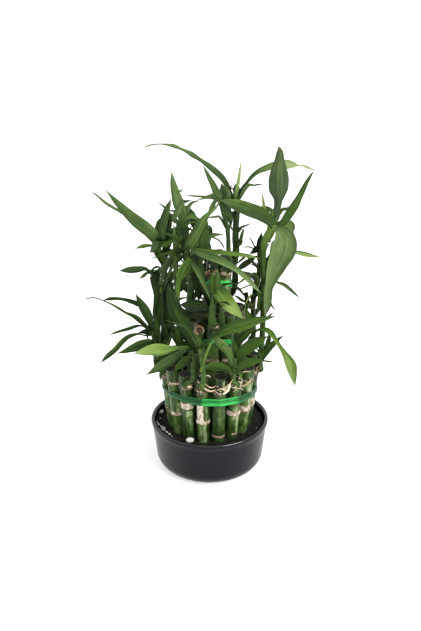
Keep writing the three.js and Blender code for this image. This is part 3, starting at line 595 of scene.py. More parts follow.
# Bark of a fresh cane: smooth and waxy, mottled greens drawn out along it, scars of papery tan
def makeCaneBark():
    bark, tree, shader, grain, tone, mark = newMaterial(
        "waxyCaneBark", {"IOR": 1.46, "Specular IOR Level": 0.24}, ["grain", "tone", "mark"])
    patterns = []
    for shift, width, length, detail in cane["patterns"]:
        drawn = addNode(tree, "Mapping", {0: grain, "Location": (shift, shift, shift),
                                          "Scale": (1 / width, 1 / length, 1)})
        patterns.append(addNode(tree, "TexNoise", {"Vector": drawn, "Scale": 1.0, "Detail": detail}))
    streaks, fine, clouds, ragged, papery = patterns
    sum1 = addNode(tree, "Math", {0: streaks, 1: 0.3, 2: tone}, operation="MULTIPLY_ADD")
    sum2 = addNode(tree, "Math", {0: fine, 1: 0.24, 2: sum1}, operation="MULTIPLY_ADD")
    sum3 = addNode(tree, "Math", {0: clouds, 1: 0.8, 2: sum2}, operation="MULTIPLY_ADD")
    green = addNode(tree, "ValToRGB", {0: sum3},
                    stops=[(0.4, cane["barkDark"]), (0.6, cane["bark"]), (0.78, cane["barkLight"]),
                           (1.0, cane["barkPale"])])
    edge = addNode(tree, "Math", {0: ragged, 1: 0.8, 2: mark}, operation="MULTIPLY_ADD")
    worn = addNode(tree, "Math", {0: edge, 1: 0.4}, operation="SUBTRACT")
    scarLevel = addNode(tree, "Math", {0: mark, 1: 0.35, 2: papery}, operation="MULTIPLY_ADD")
    scar = addNode(tree, "ValToRGB", {0: scarLevel},
                   stops=[(0.44, cane["scarDark"]), (0.58, cane["scarBrown"]), (0.74, cane["scarPink"]),
                          (0.9, cane["scarPale"])])
    rimmed = addNode(tree, "ValToRGB", {0: worn}, stops=[(0.36, "#000000"), (0.42, "#ffffff")])
    within = addNode(tree, "ValToRGB", {0: worn}, stops=[(0.44, "#000000"), (0.52, "#ffffff")])
    browned = addNode(tree, "Mix", {0: rimmed, 6: green, 7: linear(cane["scarEdge"])}, data_type="RGBA")
    colour = addNode(tree, "Mix", {0: within, 6: browned.outputs[2], 7: scar}, data_type="RGBA")
    rough = addNode(tree, "Math", {0: rimmed, 1: 0.45, 2: 0.3}, operation="MULTIPLY_ADD")
    relief = addNode(tree, "Math", {0: papery, 1: rimmed, 2: sum2}, operation="MULTIPLY_ADD")
    bump = addNode(tree, "Bump", {"Height": relief, "Distance": 0.18 * mm, "Strength": 0.55})
    setInputs(tree, shader, {"Base Color": colour.outputs[2], "Roughness": rough, "Normal": bump})
    return bark


# Cut end of a cane: a thin pale rind round dried pith with fine pores; the pith's dark colour is partly
# painted shade of the shaded cut tops
def makeCutPith():
    pith, tree, shader, place, tone = newMaterial("driedCanePith", {"Roughness": 0.85}, ["place", "tone"])
    pores = addNode(tree, "TexNoise", {"Vector": place, "Scale": 1430.0, "Detail": 4.0})  # 0.7 mm
    share = addNode(tree, "Math", {0: pores, 1: 0.25, 2: tone}, operation="MULTIPLY_ADD")
    # the dark stops are partly painted shade, the pale stop is the rind
    colour = addNode(tree, "ValToRGB", {0: share},
                     stops=[(0.2, "#a89a72"), (0.42, "#4a4529"), (0.6, "#1f2216"), (0.98, "#2c301f")])
    bump = addNode(tree, "Bump", {"Height": pores, "Distance": 0.2 * mm, "Strength": 0.7})
    setInputs(tree, shader, {"Base Color": colour, "Normal": bump})
    return pith


# Dried leaf sheath: papery, cream to tan, with fibres along it
def makeDrySheath():
    paper, tree, shader, place, grain, tone = newMaterial(
        "driedLeafSheath", {"Roughness": 0.8}, ["place", "grain", "tone"])
    thin = addNode(tree, "Mapping", {0: grain, "Scale": (1 / 0.35, 1 / 5, 1)})  # 0.35 mm wide
    fibres = addNode(tree, "TexNoise", {"Vector": thin, "Scale": 1.0, "Detail": 3.0})
    patches = addNode(tree, "TexNoise", {"Vector": place, "Scale": 285.0})  # patches of 3.5 mm
    sum1 = addNode(tree, "Math", {0: fibres, 1: 0.5, 2: tone}, operation="MULTIPLY_ADD")
    sum2 = addNode(tree, "Math", {0: patches, 1: 0.5, 2: sum1}, operation="MULTIPLY_ADD")
    colour = addNode(tree, "ValToRGB", {0: sum2},
                     stops=[(0.3, "#4a3424"), (0.5, "#8d6b4b"), (0.7, "#d2bd99"), (0.9, "#f3ead2")])
    bump = addNode(tree, "Bump", {"Height": fibres, "Distance": 0.1 * mm, "Strength": 0.6})
    setInputs(tree, shader, {"Base Color": colour, "Normal": bump})
    return paper


# Strength of a table's patches at a height and angle, each with soft edges
def patchAt(patches, height, angle):
    strength = 0
    spread, outside, inside = cane["patchEdges"]
    for low, high, middle, half, amount in patches:
        off = abs((angle - middle + 180) % 360 - 180)
        around = 1 if half >= 180 else smoothstep(half + spread, half - spread, off)
        along = smoothstep(low - outside, low + inside, height)
        along *= smoothstep(high + outside, high - inside, height)
        strength = max(strength, amount * around * along)
    return strength


def bell(off, width):
    return math.exp(-(off / width) ** 2)


# Bends the straight rod to a cane: its rings crowd where it shows, and nodes stand out of it
def bendCane(tier, index, nodes, tone, seed):
    ring = tiers[tier]
    foot, top = cane["foot"], ring["top"]
    base = caneCentre(tier, index, foot)
    along = (caneCentre(tier, index, top) - base).normalized()
    acrossX = Vector((1, 0, 0)) - along * along.x
    acrossX.normalize()
    acrossY = along.cross(acrossX)
    hidden = cane["hiddenRings"] / (cane["rings"] + 1)

    def bend(x, y, z):
        share = math.hypot(x, y)
        if z <= hidden:
            height = mix(foot, ring["showsFrom"], z / hidden)
        else:
            height = mix(ring["showsFrom"], top, (z - hidden) / (1 - hidden))
        angle = math.degrees(math.atan2(y, x)) % 360
        cosine, sine = math.cos(math.radians(angle)), math.sin(math.radians(angle))
        radius = ring["radius"] + cane["plump"] + cane["wobble"] * ripple(cosine + seed, sine, height / 14)
        mark = patchAt(caneScars.get((tier, index), ()), height, angle)
        for number, node in enumerate(nodes):
            off = height - node - cane["nodeTilt"] * math.cos(math.radians(angle - 70 * seed))
            off += cane["nodeWaver"] * ripple(2 * cosine, 2 * sine, seed + number * 5)
            radius += cane["node"][0] * bell(off, cane["node"][1])
            radius += cane["swelling"][0] * bell(off, cane["swelling"][1])
            radius -= cane["groove"][0] * bell(off - cane["grooveRise"], cane["groove"][1])
            mark = max(mark, cane["nodeMark"][0] * bell(off, cane["nodeMark"][1]))
        radius += cane["scarRelief"] * mark * ripple(3 * cosine, 3 * sine, height / 1.5 + seed)
        if share < onRim:  # the cut end: a rind, and pith that has dried below it
            height -= cane["pithDip"] * smoothstep(*cane["pithEdge"], share)
            height -= cane["pithUnevenness"] * ripple(3 * x, 3 * y, seed)
        elif z > onRim:
            height -= cane["rimDrop"]
        place = base + along * ((height - foot) / along.z)
        place += (acrossX * cosine + acrossY * sine) * radius * share
        grain = (math.radians(angle) * ring["radius"] + seed * 40, height, seed)
        # paler where the wax is pale and where highlights are painted on the lit right-front side
        shade = tone + patchAt(canePaleWaxAndHighlights.get((tier, index), ()), height, angle)
        # painted shadow of the overhanging leaves: darker above the upper node
        shade += cane["paintedLeafShadow"] * smoothstep(*cane["paintedLeafShadowSpan"], height - nodes[1])
        return place, grain, shade if share >= onRim else max(share, 0.5), mark
    return bend


# A ragged flap of dried sheath that hugs a cane and curls outwards
huskStyle = {
    "acrossFaces": 8, "alongFaces": 4,
    "taper": 0.5, "torn": 0.4, "slant": 0.3,
    "standOff": 0.25, "wave": 0.35, "halfThickness": 0.09,
    "toneAtFoot": -0.22, "toneGain": 0.5,
}


def bendHusk(tier, index, angle, half, low, tall, flare, tone, seed):
    ring = tiers[tier]
    centre = caneCentre(tier, index, low)

    def bend(x, y, z):
        turn = math.radians(angle + half * x * (1 - huskStyle["taper"] * y))
        ragged = 1 - huskStyle["torn"] * (1 - ripple(3.1 * x + seed * 1.7, seed))
        height = tall * (y * ragged + huskStyle["slant"] * x * ripple(seed * 3, 2))
        radius = ring["radius"] + huskStyle["standOff"] + flare * y * y
        radius += huskStyle["wave"] * ripple(3 * x, 2 * y, seed) + huskStyle["halfThickness"] * z
        place = centre + Vector((radius * math.cos(turn), radius * math.sin(turn), height))
        shade = tone + huskStyle["toneAtFoot"] + huskStyle["toneGain"] * y
        return place, (x * half * 0.1 + seed * 9, height, seed), shade, 0
    return bend


# Husks at the upper nodes of single canes: angle, half angle, lowest, height, flare, tone
caneHusks = {
    ("outer", 0): [(250, 36, 94, 3, 1, 0.1), (268, 50, 91.5, 2.4, 0.9, 0.05)],
    ("outer", 1): [(262, 34, 92, 2.6, 0.8, 0.05), (310, 24, 94, 6, 1.4, 0.3), (238, 20, 93, 3, 1, 0)],
    ("outer", 2): [(250, 24, 94, 4, 1.4, 0.15), (290, 26, 93.5, 3, 1, 0.1), (312, 20, 97, 6, 1.4, 0.2)],
    ("outer", 3): [(285, 34, 93.5, 4, 1, 0.2), (250, 24, 95, 3, 1.2, 0.1)],
    ("outer", 4): [(290, 28, 95, 6, 1.2, 0.3), (330, 24, 97, 7, 1.6, 0.2), (262, 24, 104, 5, 1.6, -0.1)],
    ("outer", 14): [(265, 50, 94, 3.2, 1.3, 0.3), (300, 24, 93.5, 4, 1, 0.1), (240, 22, 92, 3, 0.8, -0.1)],
    ("outer", 15): [(300, 30, 94, 7, 1.8, 0.2), (322, 22, 99, 6, 2, 0.4), (270, 26, 95, 5, 1.2, -0.05),
                    (245, 20, 94, 4, 1.2, 0.15)],
    ("outer", 13): [(250, 40, 93, 3.5, 0.9, 0.05)],
    ("middle", 8): [(250, 40, 145, 4, 1, 0.1)],
    ("middle", 0): [(285, 36, 145, 5, 1.2, 0.2)],
    ("middle", 1): [(262, 34, 112, 5, 1.4, 0.1), (270, 30, 145, 4, 1, 0.2)],
    ("inner", 0): [(250, 50, 189, 6, 1.4, -0.15), (290, 30, 190, 7, 1.6, -0.1), (215, 40, 187, 9, 2, -0.2),
                   (190, 30, 184, 12, 1.6, -0.25)],
    ("inner", 1): [(255, 26, 190, 5, 1.2, 0.0), (310, 34, 188, 6, 1.2, 0.05)],
}
# Crumbs of sheath and root at the upper node of each cane
crumbs = {
    "count": 9, "rise": (-1, 9), "standOff": (0.1, 0.9), "half": (0.35, 1), "tone": (-0.25, 0.5),
    "lumps": 0.3,
}
caneBark = makeCaneBark()
cutPith = makeCutPith()
drySheath = makeDrySheath()
caneRod = makeRod("caneRod", cane["sides"], cane["rings"], True, cane["rim"])
onTop = {corner for corner, place in enumerate(caneRod["corners"]) if place[2] > onRim}
husk = makeSlab("husk", huskStyle["acrossFaces"], huskStyle["alongFaces"])
for tier, ring in tiers.items():
    for index in range(ring["count"]):
        dice = random.Random(f"{tier}{index}")
        nodes = [node + dice.uniform(*caneDraws[which])
                 for node, which in zip(ring["nodes"], ("lowerNode", "upperNode"))]
        nodes = caneNodes.get((tier, index), nodes)
        tone = dice.uniform(*cane["tone"])
        seed = dice.uniform(0, 9)
        if (tier, index) not in caneScars:
            tall = dice.uniform(*caneDraws["scarTall"])
            strength = dice.uniform(*caneDraws["scarStrength"])
            caneScars[(tier, index)] = [(nodes[0] - 1, nodes[0] + tall, 0, 180, strength)]
        if (tier, index) not in caneHusks:
            caneHusks[(tier, index)] = [
                (dice.uniform(0, 360), dice.uniform(*caneDraws["huskHalf"]),
                 nodes[1] - dice.uniform(*caneDraws["huskDrop"]), dice.uniform(*caneDraws["huskTall"]),
                 dice.uniform(*caneDraws["huskFlare"]), dice.uniform(*caneDraws["huskTone"]))
                for flap in range(dice.choice(caneDraws["huskCounts"]))]
        shape = newShape()
        addCopy(shape, caneRod, bendCane(tier, index, nodes, tone, seed),
                lambda face: 1 if onTop.issuperset(face) else 0)
        for number, flap in enumerate(caneHusks[(tier, index)]):
            addCopy(shape, husk, bendHusk(tier, index, *flap, seed + number), 2)
        for number in range(crumbs["count"]):
            height = nodes[1] + dice.uniform(*crumbs["rise"])
            turn = math.radians(dice.uniform(0, 360))
            reach = ring["radius"] + dice.uniform(*crumbs["standOff"])
            place = caneCentre(tier, index, height)
            place += Vector((reach * math.cos(turn), reach * math.sin(turn), 0))
            size = [dice.uniform(*crumbs["half"]) for _ in range(3)]
            turn = dice.uniform(0, 360)
            shade = dice.uniform(*crumbs["tone"])
            addCopy(shape, smallGrain, placeStone(place, size, turn, crumbs["lumps"], shade, number), 2)
        number = f"{index + 1:02d}"
        finishShape(f"bark_{tier}_{number}", shape, [caneBark, cutPith, drySheath],
                    [f"cane_{tier}_{number}"])

# A cut side branch on one cane: pale rim and tan middle, turned to the front
stub = {
    "place": (-8.6, -23.8, 144.6), "toward": (-0.12, -0.95, 0.1),
    "radius": 4.3, "length": 3.4, "footFlare": 1.15, "lumps": 0.08,
    "sides": 20, "rings": 3, "rim": (0.16, 0.3),
    "hollow": 0.7,  # how far the middle has dried below the rim
    "sideTone": -0.2, "middleTone": -0.12, "rimTone": 0.18,
}


def bendStub(x, y, z):
    toward = Vector(stub["toward"]).normalized()
    across = toward.cross(Vector((0, 0, 1))).normalized()
    upward = across.cross(toward)
    share = math.hypot(x, y)
    radius = stub["radius"] * mix(stub["footFlare"], 1, z)
    radius *= 1 + stub["lumps"] * ripple(1.4 * x, 1.4 * y, 6)
    sunk = stub["hollow"] * smoothstep(0.9, 0.5, share) * smoothstep(0.9, 1, z)
    place = Vector(stub["place"]) + toward * (stub["length"] * z - sunk)
    place += across * (x * radius) + upward * (y * radius)
    cut = mix(stub["middleTone"], stub["rimTone"], smoothstep(0.5, 0.95, share))
    return place, (x * 4, z * 4, 3), cut if z > 0.7 else stub["sideTone"], 0


shape = newShape()
addCopy(shape, makeRod("stubRod", stub["sides"], stub["rings"], True, stub["rim"]), bendStub)
finishShape("branch_stub", shape, [drySheath])
print("canes are ready")


# Ties: thin shiny strands wound round each tier
tie = {
    "heights": {"outer": 80, "middle": 130, "inner": 180},
    "tilt": 0.04,
    "snug": 0.75,  # how far a strand's middle stands off the bark
    "sides": 8, "rings": 320,
    "halfThickness": 0.28,
    "strands": {  # rise, extra distance, half width, tone
        "outer": [(3.1, 0, 0.9, 0.1), (1.3, 0.25, 0.7, -0.04), (-0.3, 0.3, 0.7, 0.12),
                  (-1.8, 0.1, 1.1, 0.16)],
        "middle": [(1.4, 0, 1, 0.25), (-1, 0.25, 1.3, 0.4)],
        "inner": [(1.3, 0, 1.1, 0.55), (-1.2, 0.3, 1.2, 0.4)],
    },
    "gather": 0.3,  # share of the rise that is left at the back, where the strands lie together
    "gatherToward": (0.6, -0.8), "gatherSpan": (-0.6, 0.7),
    "frontRise": 3, "frontSpan": (0.2, 1),
    "wander": 0.4, "narrowing": 0.3, "lean": 0.5,
    # a painted highlight on the front right of each tie; the rest is darker by backTone
    "paintedHighlight": 0.45, "paintedHighlightToward": (0.26, -0.966), "paintedHighlightSpan": (0.9, 1), "backTone": -0.15,
    "dark": "#0d4822", "body": "#1b7f3a", "bright": "#45cf62",
    "sharpAngle": 60,
}


# Polyethylene ribbon: glossy green film drawn into fine lengthwise creases, its tone lifted toward the
# bright green by a painted highlight
def makeTieFilm():
    film, tree, shader, grain, tone = newMaterial(
        "drawnPolyethyleneFilm", {"Roughness": 0.3, "IOR": 1.51, "Specular IOR Level": 0.22},
        ["grain", "tone"])
    drawn = addNode(tree, "Mapping", {0: grain, "Scale": (1 / 0.45, 1 / 12, 1)})  # 0.45 mm creases
    creases = addNode(tree, "TexNoise", {"Vector": drawn, "Scale": 1.0, "Detail": 3.0})
    share = addNode(tree, "Math", {0: creases, 1: 0.7, 2: tone}, operation="MULTIPLY_ADD")
    colour = addNode(tree, "ValToRGB", {0: share},
                     stops=[(0.25, tie["dark"]), (0.55, tie["body"]), (0.95, tie["bright"])])
    bump = addNode(tree, "Bump", {"Height": creases, "Distance": 0.12 * mm, "Strength": 0.7})
    setInputs(tree, shader, {"Base Color": colour, "Normal": bump})
    return film


# The line of a tie: round the outside of each cane and straight to the next
def tieLine(tier):
    ring = tiers[tier]
    step = 360 / ring["count"]
    line = []
    for index in range(ring["count"]):
        for part in (-0.5, -0.25, 0, 0.25, 0.5):
            turn = math.radians(ring["start"] + step * (index + part))
            out = Vector((math.cos(turn), math.sin(turn), 0))
            centre = caneCentre(tier, index, tie["heights"][tier])
            centre.z -= tie["tilt"] * centre.x
            line.append((centre + out * (ring["radius"] + tie["snug"]), out))
    return line


# Winds the straight rod along a tie's line
def bendStrand(line, rise, further, halfWidth, tone, seed):
    closed = line + line[:1]
    lengths = [0]
    for (here, _), (after, _) in zip(closed, closed[1:]):
        lengths.append(lengths[-1] + (after - here).length)

    def bend(x, y, z):
        target = (z % 1) * lengths[-1]
        step = 0
        while step < len(line) - 1 and lengths[step + 1] < target:
            step += 1
        share = (target - lengths[step]) / (lengths[step + 1] - lengths[step])
        place, out = (first.lerp(second, share) for first, second in zip(closed[step], closed[step + 1]))
        out.normalize()
        turn = 2 * math.pi * (z % 1)
        round1, round2 = math.cos(turn), math.sin(turn)
        forward = out.x * tie["gatherToward"][0] + out.y * tie["gatherToward"][1]
        lifted = rise * mix(tie["gather"], 1, smoothstep(*tie["gatherSpan"], forward))
        lifted += tie["wander"] * ripple(2.2 * round1 + seed, 2.2 * round2, seed)
        lifted += tie["frontRise"] * smoothstep(*tie["frontSpan"], -out.y)
        narrow = 1 + tie["narrowing"] * ripple(4 * round1, 4 * round2, seed + 4)
        lean = tie["lean"] * ripple(3 * round1 + seed, 3 * round2, seed + 7)
        up = (Vector((0, 0, 1)) + out * lean).normalized()
        place = place + Vector((0, 0, lifted)) + out * further
        place += up * (y * halfWidth * narrow) + out * (x * tie["halfThickness"])
        # painted highlight where a strand faces the front right
        lit = out.x * tie["paintedHighlightToward"][0] + out.y * tie["paintedHighlightToward"][1]
        shade = tone + tie["backTone"] + tie["paintedHighlight"] * smoothstep(*tie["paintedHighlightSpan"], lit)
        return place, (y * halfWidth * 2 + seed * 20, target, seed), shade, 0
    return bend


tieFilm = makeTieFilm()
strandRod = makeRod("strandRod", tie["sides"], tie["rings"], False)
for tier, strands in tie["strands"].items():
    shape = newShape()
    for number, strand in enumerate(strands):
        addCopy(shape, strandRod, bendStrand(tieLine(tier), *strand, number * 3.7 + 1))
    finishShape(f"tie_{tier}", shape, [tieFilm], [f"ribbon_{tier}"], tie["sharpAngle"])
print("ties are ready")


# Leafy shoots, in mm. Root: tier, cane, side and height. Stem: its line. Fill: leaves by the seeded
# rule, between two angles, apart from those to skip. Tone and girth where a stem differs from the rest
shoots = {}
# Leaves as they lie in the photograph's view. Each row: where along the stem, depths y at root and tip,
# tones at root and tip, then x, z and width from root to tip, where the width is 0. Bloom with painted
# sheen, and facing, come last, where they differ from the usual
# The tones of these rows follow how light or dark each leaf looks, so they carry painted light and shade
# along with each leaf's own green
leafRows = {}
shoots["rightTall"] = {
    "root": ("outer", 5, 5, 99.5), "tone": 0.4, "girth": 1.1,
    "stem": [(48.4, 9, 130.1), (48.2, 7.9, 150.2), (48.1, 6.8, 169.8), (47, 5.6, 189), (45.2, 4.5, 204),
        (46.2, 3.4, 214.3), (49.3, 2.2, 222.6), (52.9, 1.1, 227.8), (56.2, 0, 229.8)],
}
leafRows["rightTall"] = [
    (0.98, -2, -7, 0.31, 0.43, [56.9, 237.6, 4.2, 56.9, 244.7, 5.5, 57.4, 253.3, 7.5, 57.4, 258.1, 12.1,
     57.1, 262.8, 16.2, 57.1, 271.2, 16.9, 57, 278.8, 13.9, 57, 287, 8.6, 57, 294.3, 5.3,
     55.8, 298.6], 0.85),
    (0.98, -3, -12, 0.33, 0.45, [53.8, 231.8, 6.8, 48.8, 237.8, 10.1, 41.5, 242.7, 11.7, 33.8, 245.9, 11.7,
     27, 248.9, 10.8, 20.3, 251.2, 8.7, 13.6, 253.7, 4.5, 7.4, 255.3], 0.25),
    (0.98, 2, 10, 0.53, 0.43, [62.7, 232.7, 6.4, 67.6, 239.8, 7.5, 72.5, 247.3, 7.3, 75.8, 253.5, 5.4,
     79, 260.1, 4.6, 82.2, 266.6, 3.4, 85.4, 271.9, 2, 88.3, 276.3], 0.2),
    (0.98, -4, -22, 0.63, 0.59, [58.3, 228.1, 7.6, 61.1, 225.2, 14.4, 63.1, 221.1, 19.9, 63.1, 215.7, 22.5,
     61.5, 209.4, 21.7, 58.3, 201.9, 17.5, 55.3, 194.4, 14.2, 52.7, 186.4, 9.4, 50.7, 179.3, 6.9,
     50.2, 170.7, 6.9, 49.4, 163.1, 5.2, 47.6, 155.8], 0.6),
    (0.98, 6, 12, 0.9, 1, [50, 239.1, 1.7, 46.9, 243.8, 2.4, 45.8, 250.3, 2.1, 44.7, 257.6], 0.1),
    # a leaf behind the others, made pale as painted light where it lies in shade
    (0.98, 9, 7, 0.88, 0.9, [62.7, 225.5, 6.9, 65.2, 228, 10.4, 68.2, 229.1, 10.4, 70.8, 226.9, 7.8,
     72.7, 222], 0.4),
    (0.6, -2, -2, 0.53, 0.69, [46.7, 213, 5.2, 49.4, 220.1, 7.2, 52.3, 227.2, 8, 53.3, 234.2, 7.6,
     54.6, 241.1, 5.1, 55.4, 247.9, 2.5, 55.8, 253], 0.1),
    (0.65, 6, -2, 0.73, 0.85, [69.2, 206.6, 2.2, 76, 205.6, 3.3, 82.8, 204.6, 4.2, 89.5, 203.6, 2.6,
     96.2, 203.4], 0.1, "frontUp"),
    (0.36, 3, -4, 0.43, 0.53, [55.1, 177.2, 1.8, 61.1, 178.3, 2.6, 66.3, 176.9, 3.7, 71.7, 172.6, 3.3,
     76.1, 168.9, 1.9, 79.8, 165.6], 0.7, "frontUp"),
    (0.26, -1, -2, 0.38, 0.38, [51.7, 162.2, 1.8, 55.4, 157.6, 2, 59.2, 152.5]),
    (0.98, 8, 12, 0.53, 0.43, [61.2, 241.2, 3.1, 65.6, 242.6, 3.1, 70.2, 241.5], 0.2, "frontUp"),
    (0.98, 8, 12, 0.58, 0.43, [54, 239.5, 3.4, 50.1, 243, 3.8, 45.9, 243.8, 2.6,
     41.7, 243.7], 0.2, "frontUp"),
    (0.98, 8, 12, 0.43, 0.48, [64.4, 235.9, 1, 66.5, 241.6, 1.5, 68, 247.2]),
    (0.9, 4, 6, 0.43, 0.38, [52.3, 215.3, 2.2, 48.9, 214.7, 2.3, 45.5, 212.9], 0.1, "frontUp"),
    (0.6, 4, 6, 0.28, 0.28, [49.3, 196.7, 3.1, 51.5, 201, 2.3, 52.7, 205.2], 0.1),
    (0.16, -8, -8, 0.33, 0.33, [48.2, 144.9, 2.1, 51.6, 149.7, 2.6, 54.6, 152.9, 1.8, 57.6, 154.4]),
]
shoots["rightMiddle"] = {
    "root": ("outer", 6, 20, 99.5),
    "stem": [(40.9, 20, 125.4), (39.9, 18.7, 144), (40.4, 17.3, 158.2), (43.2, 16, 173.2), (45, 14.7, 187.8),
        (44.2, 13.3, 199.4), (43, 12, 206.3)],
    "fill": {"count": 5, "from": 60, "to": 150, "length": 34, "width": 8, "skip": [1, 2, 4]},
}
leafRows["rightMiddle"] = [
    (0.98, 10, 10, 0.14, 0.18, [43.7, 209.5, 5.3, 44, 214, 5.2, 44.8, 219, 2.6, 45.1, 222.6], 0.1),
    (0.98, 8, 4, 0.12, 0.12, [41.4, 207.8, 5.7, 38.3, 205.7, 3.9, 33.9, 204], 0.2),
    (0.82, 8, -2, 0.1, 0.12, [41.6, 200, 1.8, 36.7, 198.8, 4.2, 31.8, 196.1, 5.8, 27.4, 193.7, 4.9,
     22.5, 190.9], 0.1),
    (0.69, 8, 6, 0.4, 0.4, [42.2, 193.1, 1.1, 39, 195, 1.1, 35.5, 195.6]),
    (0.98, 8, 4, 0.5, 0.55, [38.8, 207.5, 1.2, 33.4, 210.1, 1.4, 26.8, 209.2], 0, "frontUp"),
    (0.98, 12, 12, 0.4, 0.45, [39.9, 208, 1.3, 36.7, 213.9, 1.2, 33.1, 220.2]),
    (0.57, 4, -6, 0.3, 0.5, [42.8, 179.2, 1.9, 41.5, 184.4, 2.6, 39.3, 188.1, 3, 34.9, 186.4, 3.5,
     30, 183.7, 4.5, 25.9, 180.8, 3.1, 22.1, 178.5]),
    (0.57, 6, 0, 0.15, 0.15, [40.4, 173.8, 1.3, 35.3, 175.1, 1.6, 29.5, 173.7, 1.6,
     22, 171.2], 0, "frontUp"),
    (0.45, 12, 4, 0.6, 0.9, [37.8, 163, 3.6, 33.7, 158.2, 4.5, 31.9, 153.5, 3.1, 30.5, 148.7]),
    (0.45, 10, 4, 0.3, 0.4, [36.5, 156, 2.7, 33.3, 151, 3.6, 30.6, 146, 2.7, 29.2, 141.9]),
    (0.45, 10, 6, 0.15, 0.25, [33.8, 156, 2.3, 28.2, 159.9, 2.9, 24.1, 163.3, 2, 20.9, 165.2], 0, "frontUp"),
    (0.57, 8, 2, 0.2, 0.3, [43.3, 169.2, 4.5, 45.5, 163.3, 5.4, 44.2, 155.5, 4.5, 42.5, 149.5]),
    (0.57, 4, 2, 0.15, 0.2, [47.3, 176.3, 3.5, 50.2, 181.2, 3.1, 50.4, 188, 1.9, 50.6, 193.7]),
    (0.2, 10, 10, 0.5, 0.66, [38.7, 136.5, 3.7, 35.7, 142.4, 6.4, 32.5, 147.8, 5.4, 28, 157]),
    (0.82, 0, 0, 0.3, 0.3, [32.4, 203.5, 2.3, 29, 201.6, 2.9, 26, 198.9, 2.1, 23, 195.3]),
]
shoots["topLeft"] = {
    "root": ("inner", 1, 300, 195.4), "tone": 0.3, "girth": 0.85,
    "stem": [(16, -14, 213.2), (15.7, -12.6, 223.3), (14.2, -11.2, 235), (11.5, -9.8, 243.2),
        (10, -8.4, 249.6), (9.4, -7, 253.9)],
    "fill": {"count": 2, "from": 80, "to": 130, "length": 26, "width": 6},
}
leafRows["topLeft"] = [
    (0.98, -7, -9, 0.47, 0.53, [8.3, 257.6, 5.5, 5.5, 261.8, 6, 2.7, 267.7, 5.1, -0.3, 273.2, 3.9,
     -2.9, 278.6, 2.4, -5.9, 284.3], 0.45),
    (0.98, -6, -6, 0.29, 0.33, [10.8, 257.3, 7.5, 11.2, 261.5, 6.6, 10.6, 265.3, 3.8, 9.8, 268.3], 0.45),
    (0.98, -4, -4, 0.55, 0.55, [13.7, 253.5, 6.7, 14.5, 257.7, 6.7, 14.1, 261.9, 4.2, 12.5, 266.5], 0.85),
    (0.98, -7, -10, 0.57, 0.45, [7, 257.6, 4.1, 2.5, 258.1, 4.1, -2.5, 257.2, 2.5, -8.7, 257.8, 1.7,
     -15.3, 258.4, 1.3, -19.8, 258.7], 0.65),
    (0.98, -8, -12, 0.5, 0.55, [3.7, 255.6, 2.2, -1.7, 256.4, 1.5, -7, 255.9, 1.3, -14.9, 253.2], 0.75),
    (0.98, -10, -16, 0.4, 0.45, [5.3, 254.5, 3, 2.5, 250.7, 3.8, 0.4, 246.6, 3, -1.3, 241.6], 0.55),
    (0.98, -10, -14, 0.65, 0.7, [7.8, 252.8, 1.7, 5.8, 249.3, 1.5, 2.9, 245.9, 1.2, 0, 242.8], 0.65),
    (0.62, -10, -12, 0.4, 0.45, [8.7, 240.3, 2.2, 4.5, 240.9, 1.8, 0.4, 240.7, 1.3,
     -2.9, 240.2], 0.55, "frontUp"),
    (0.85, -8, -8, 0.35, 0.35, [12.9, 250.2, 6.7, 15.8, 244.3, 5.8, 18.4, 238.7, 2.8, 18.9, 234], 0.45),
    (0.4, -8, -6, 0.35, 0.35, [16.8, 232.3, 1.7, 18.9, 229.4, 1.7, 19.8, 226.5], 0.35),
]
shoots["topRight"] = {
    "root": ("inner", 2, 20, 195.4), "tone": 0.3, "girth": 1.3,
    "stem": [(23.1, 8, 206.6), (22.5, 7.2, 217.7), (22.7, 6.4, 230.3), (23.4, 5.6, 241.1),
        (23.3, 4.8, 247.3), (23.2, 4, 251.4)],
    "fill": {"count": 3, "from": 60, "to": 110, "length": 30, "width": 6.5, "skip": [0]},
}
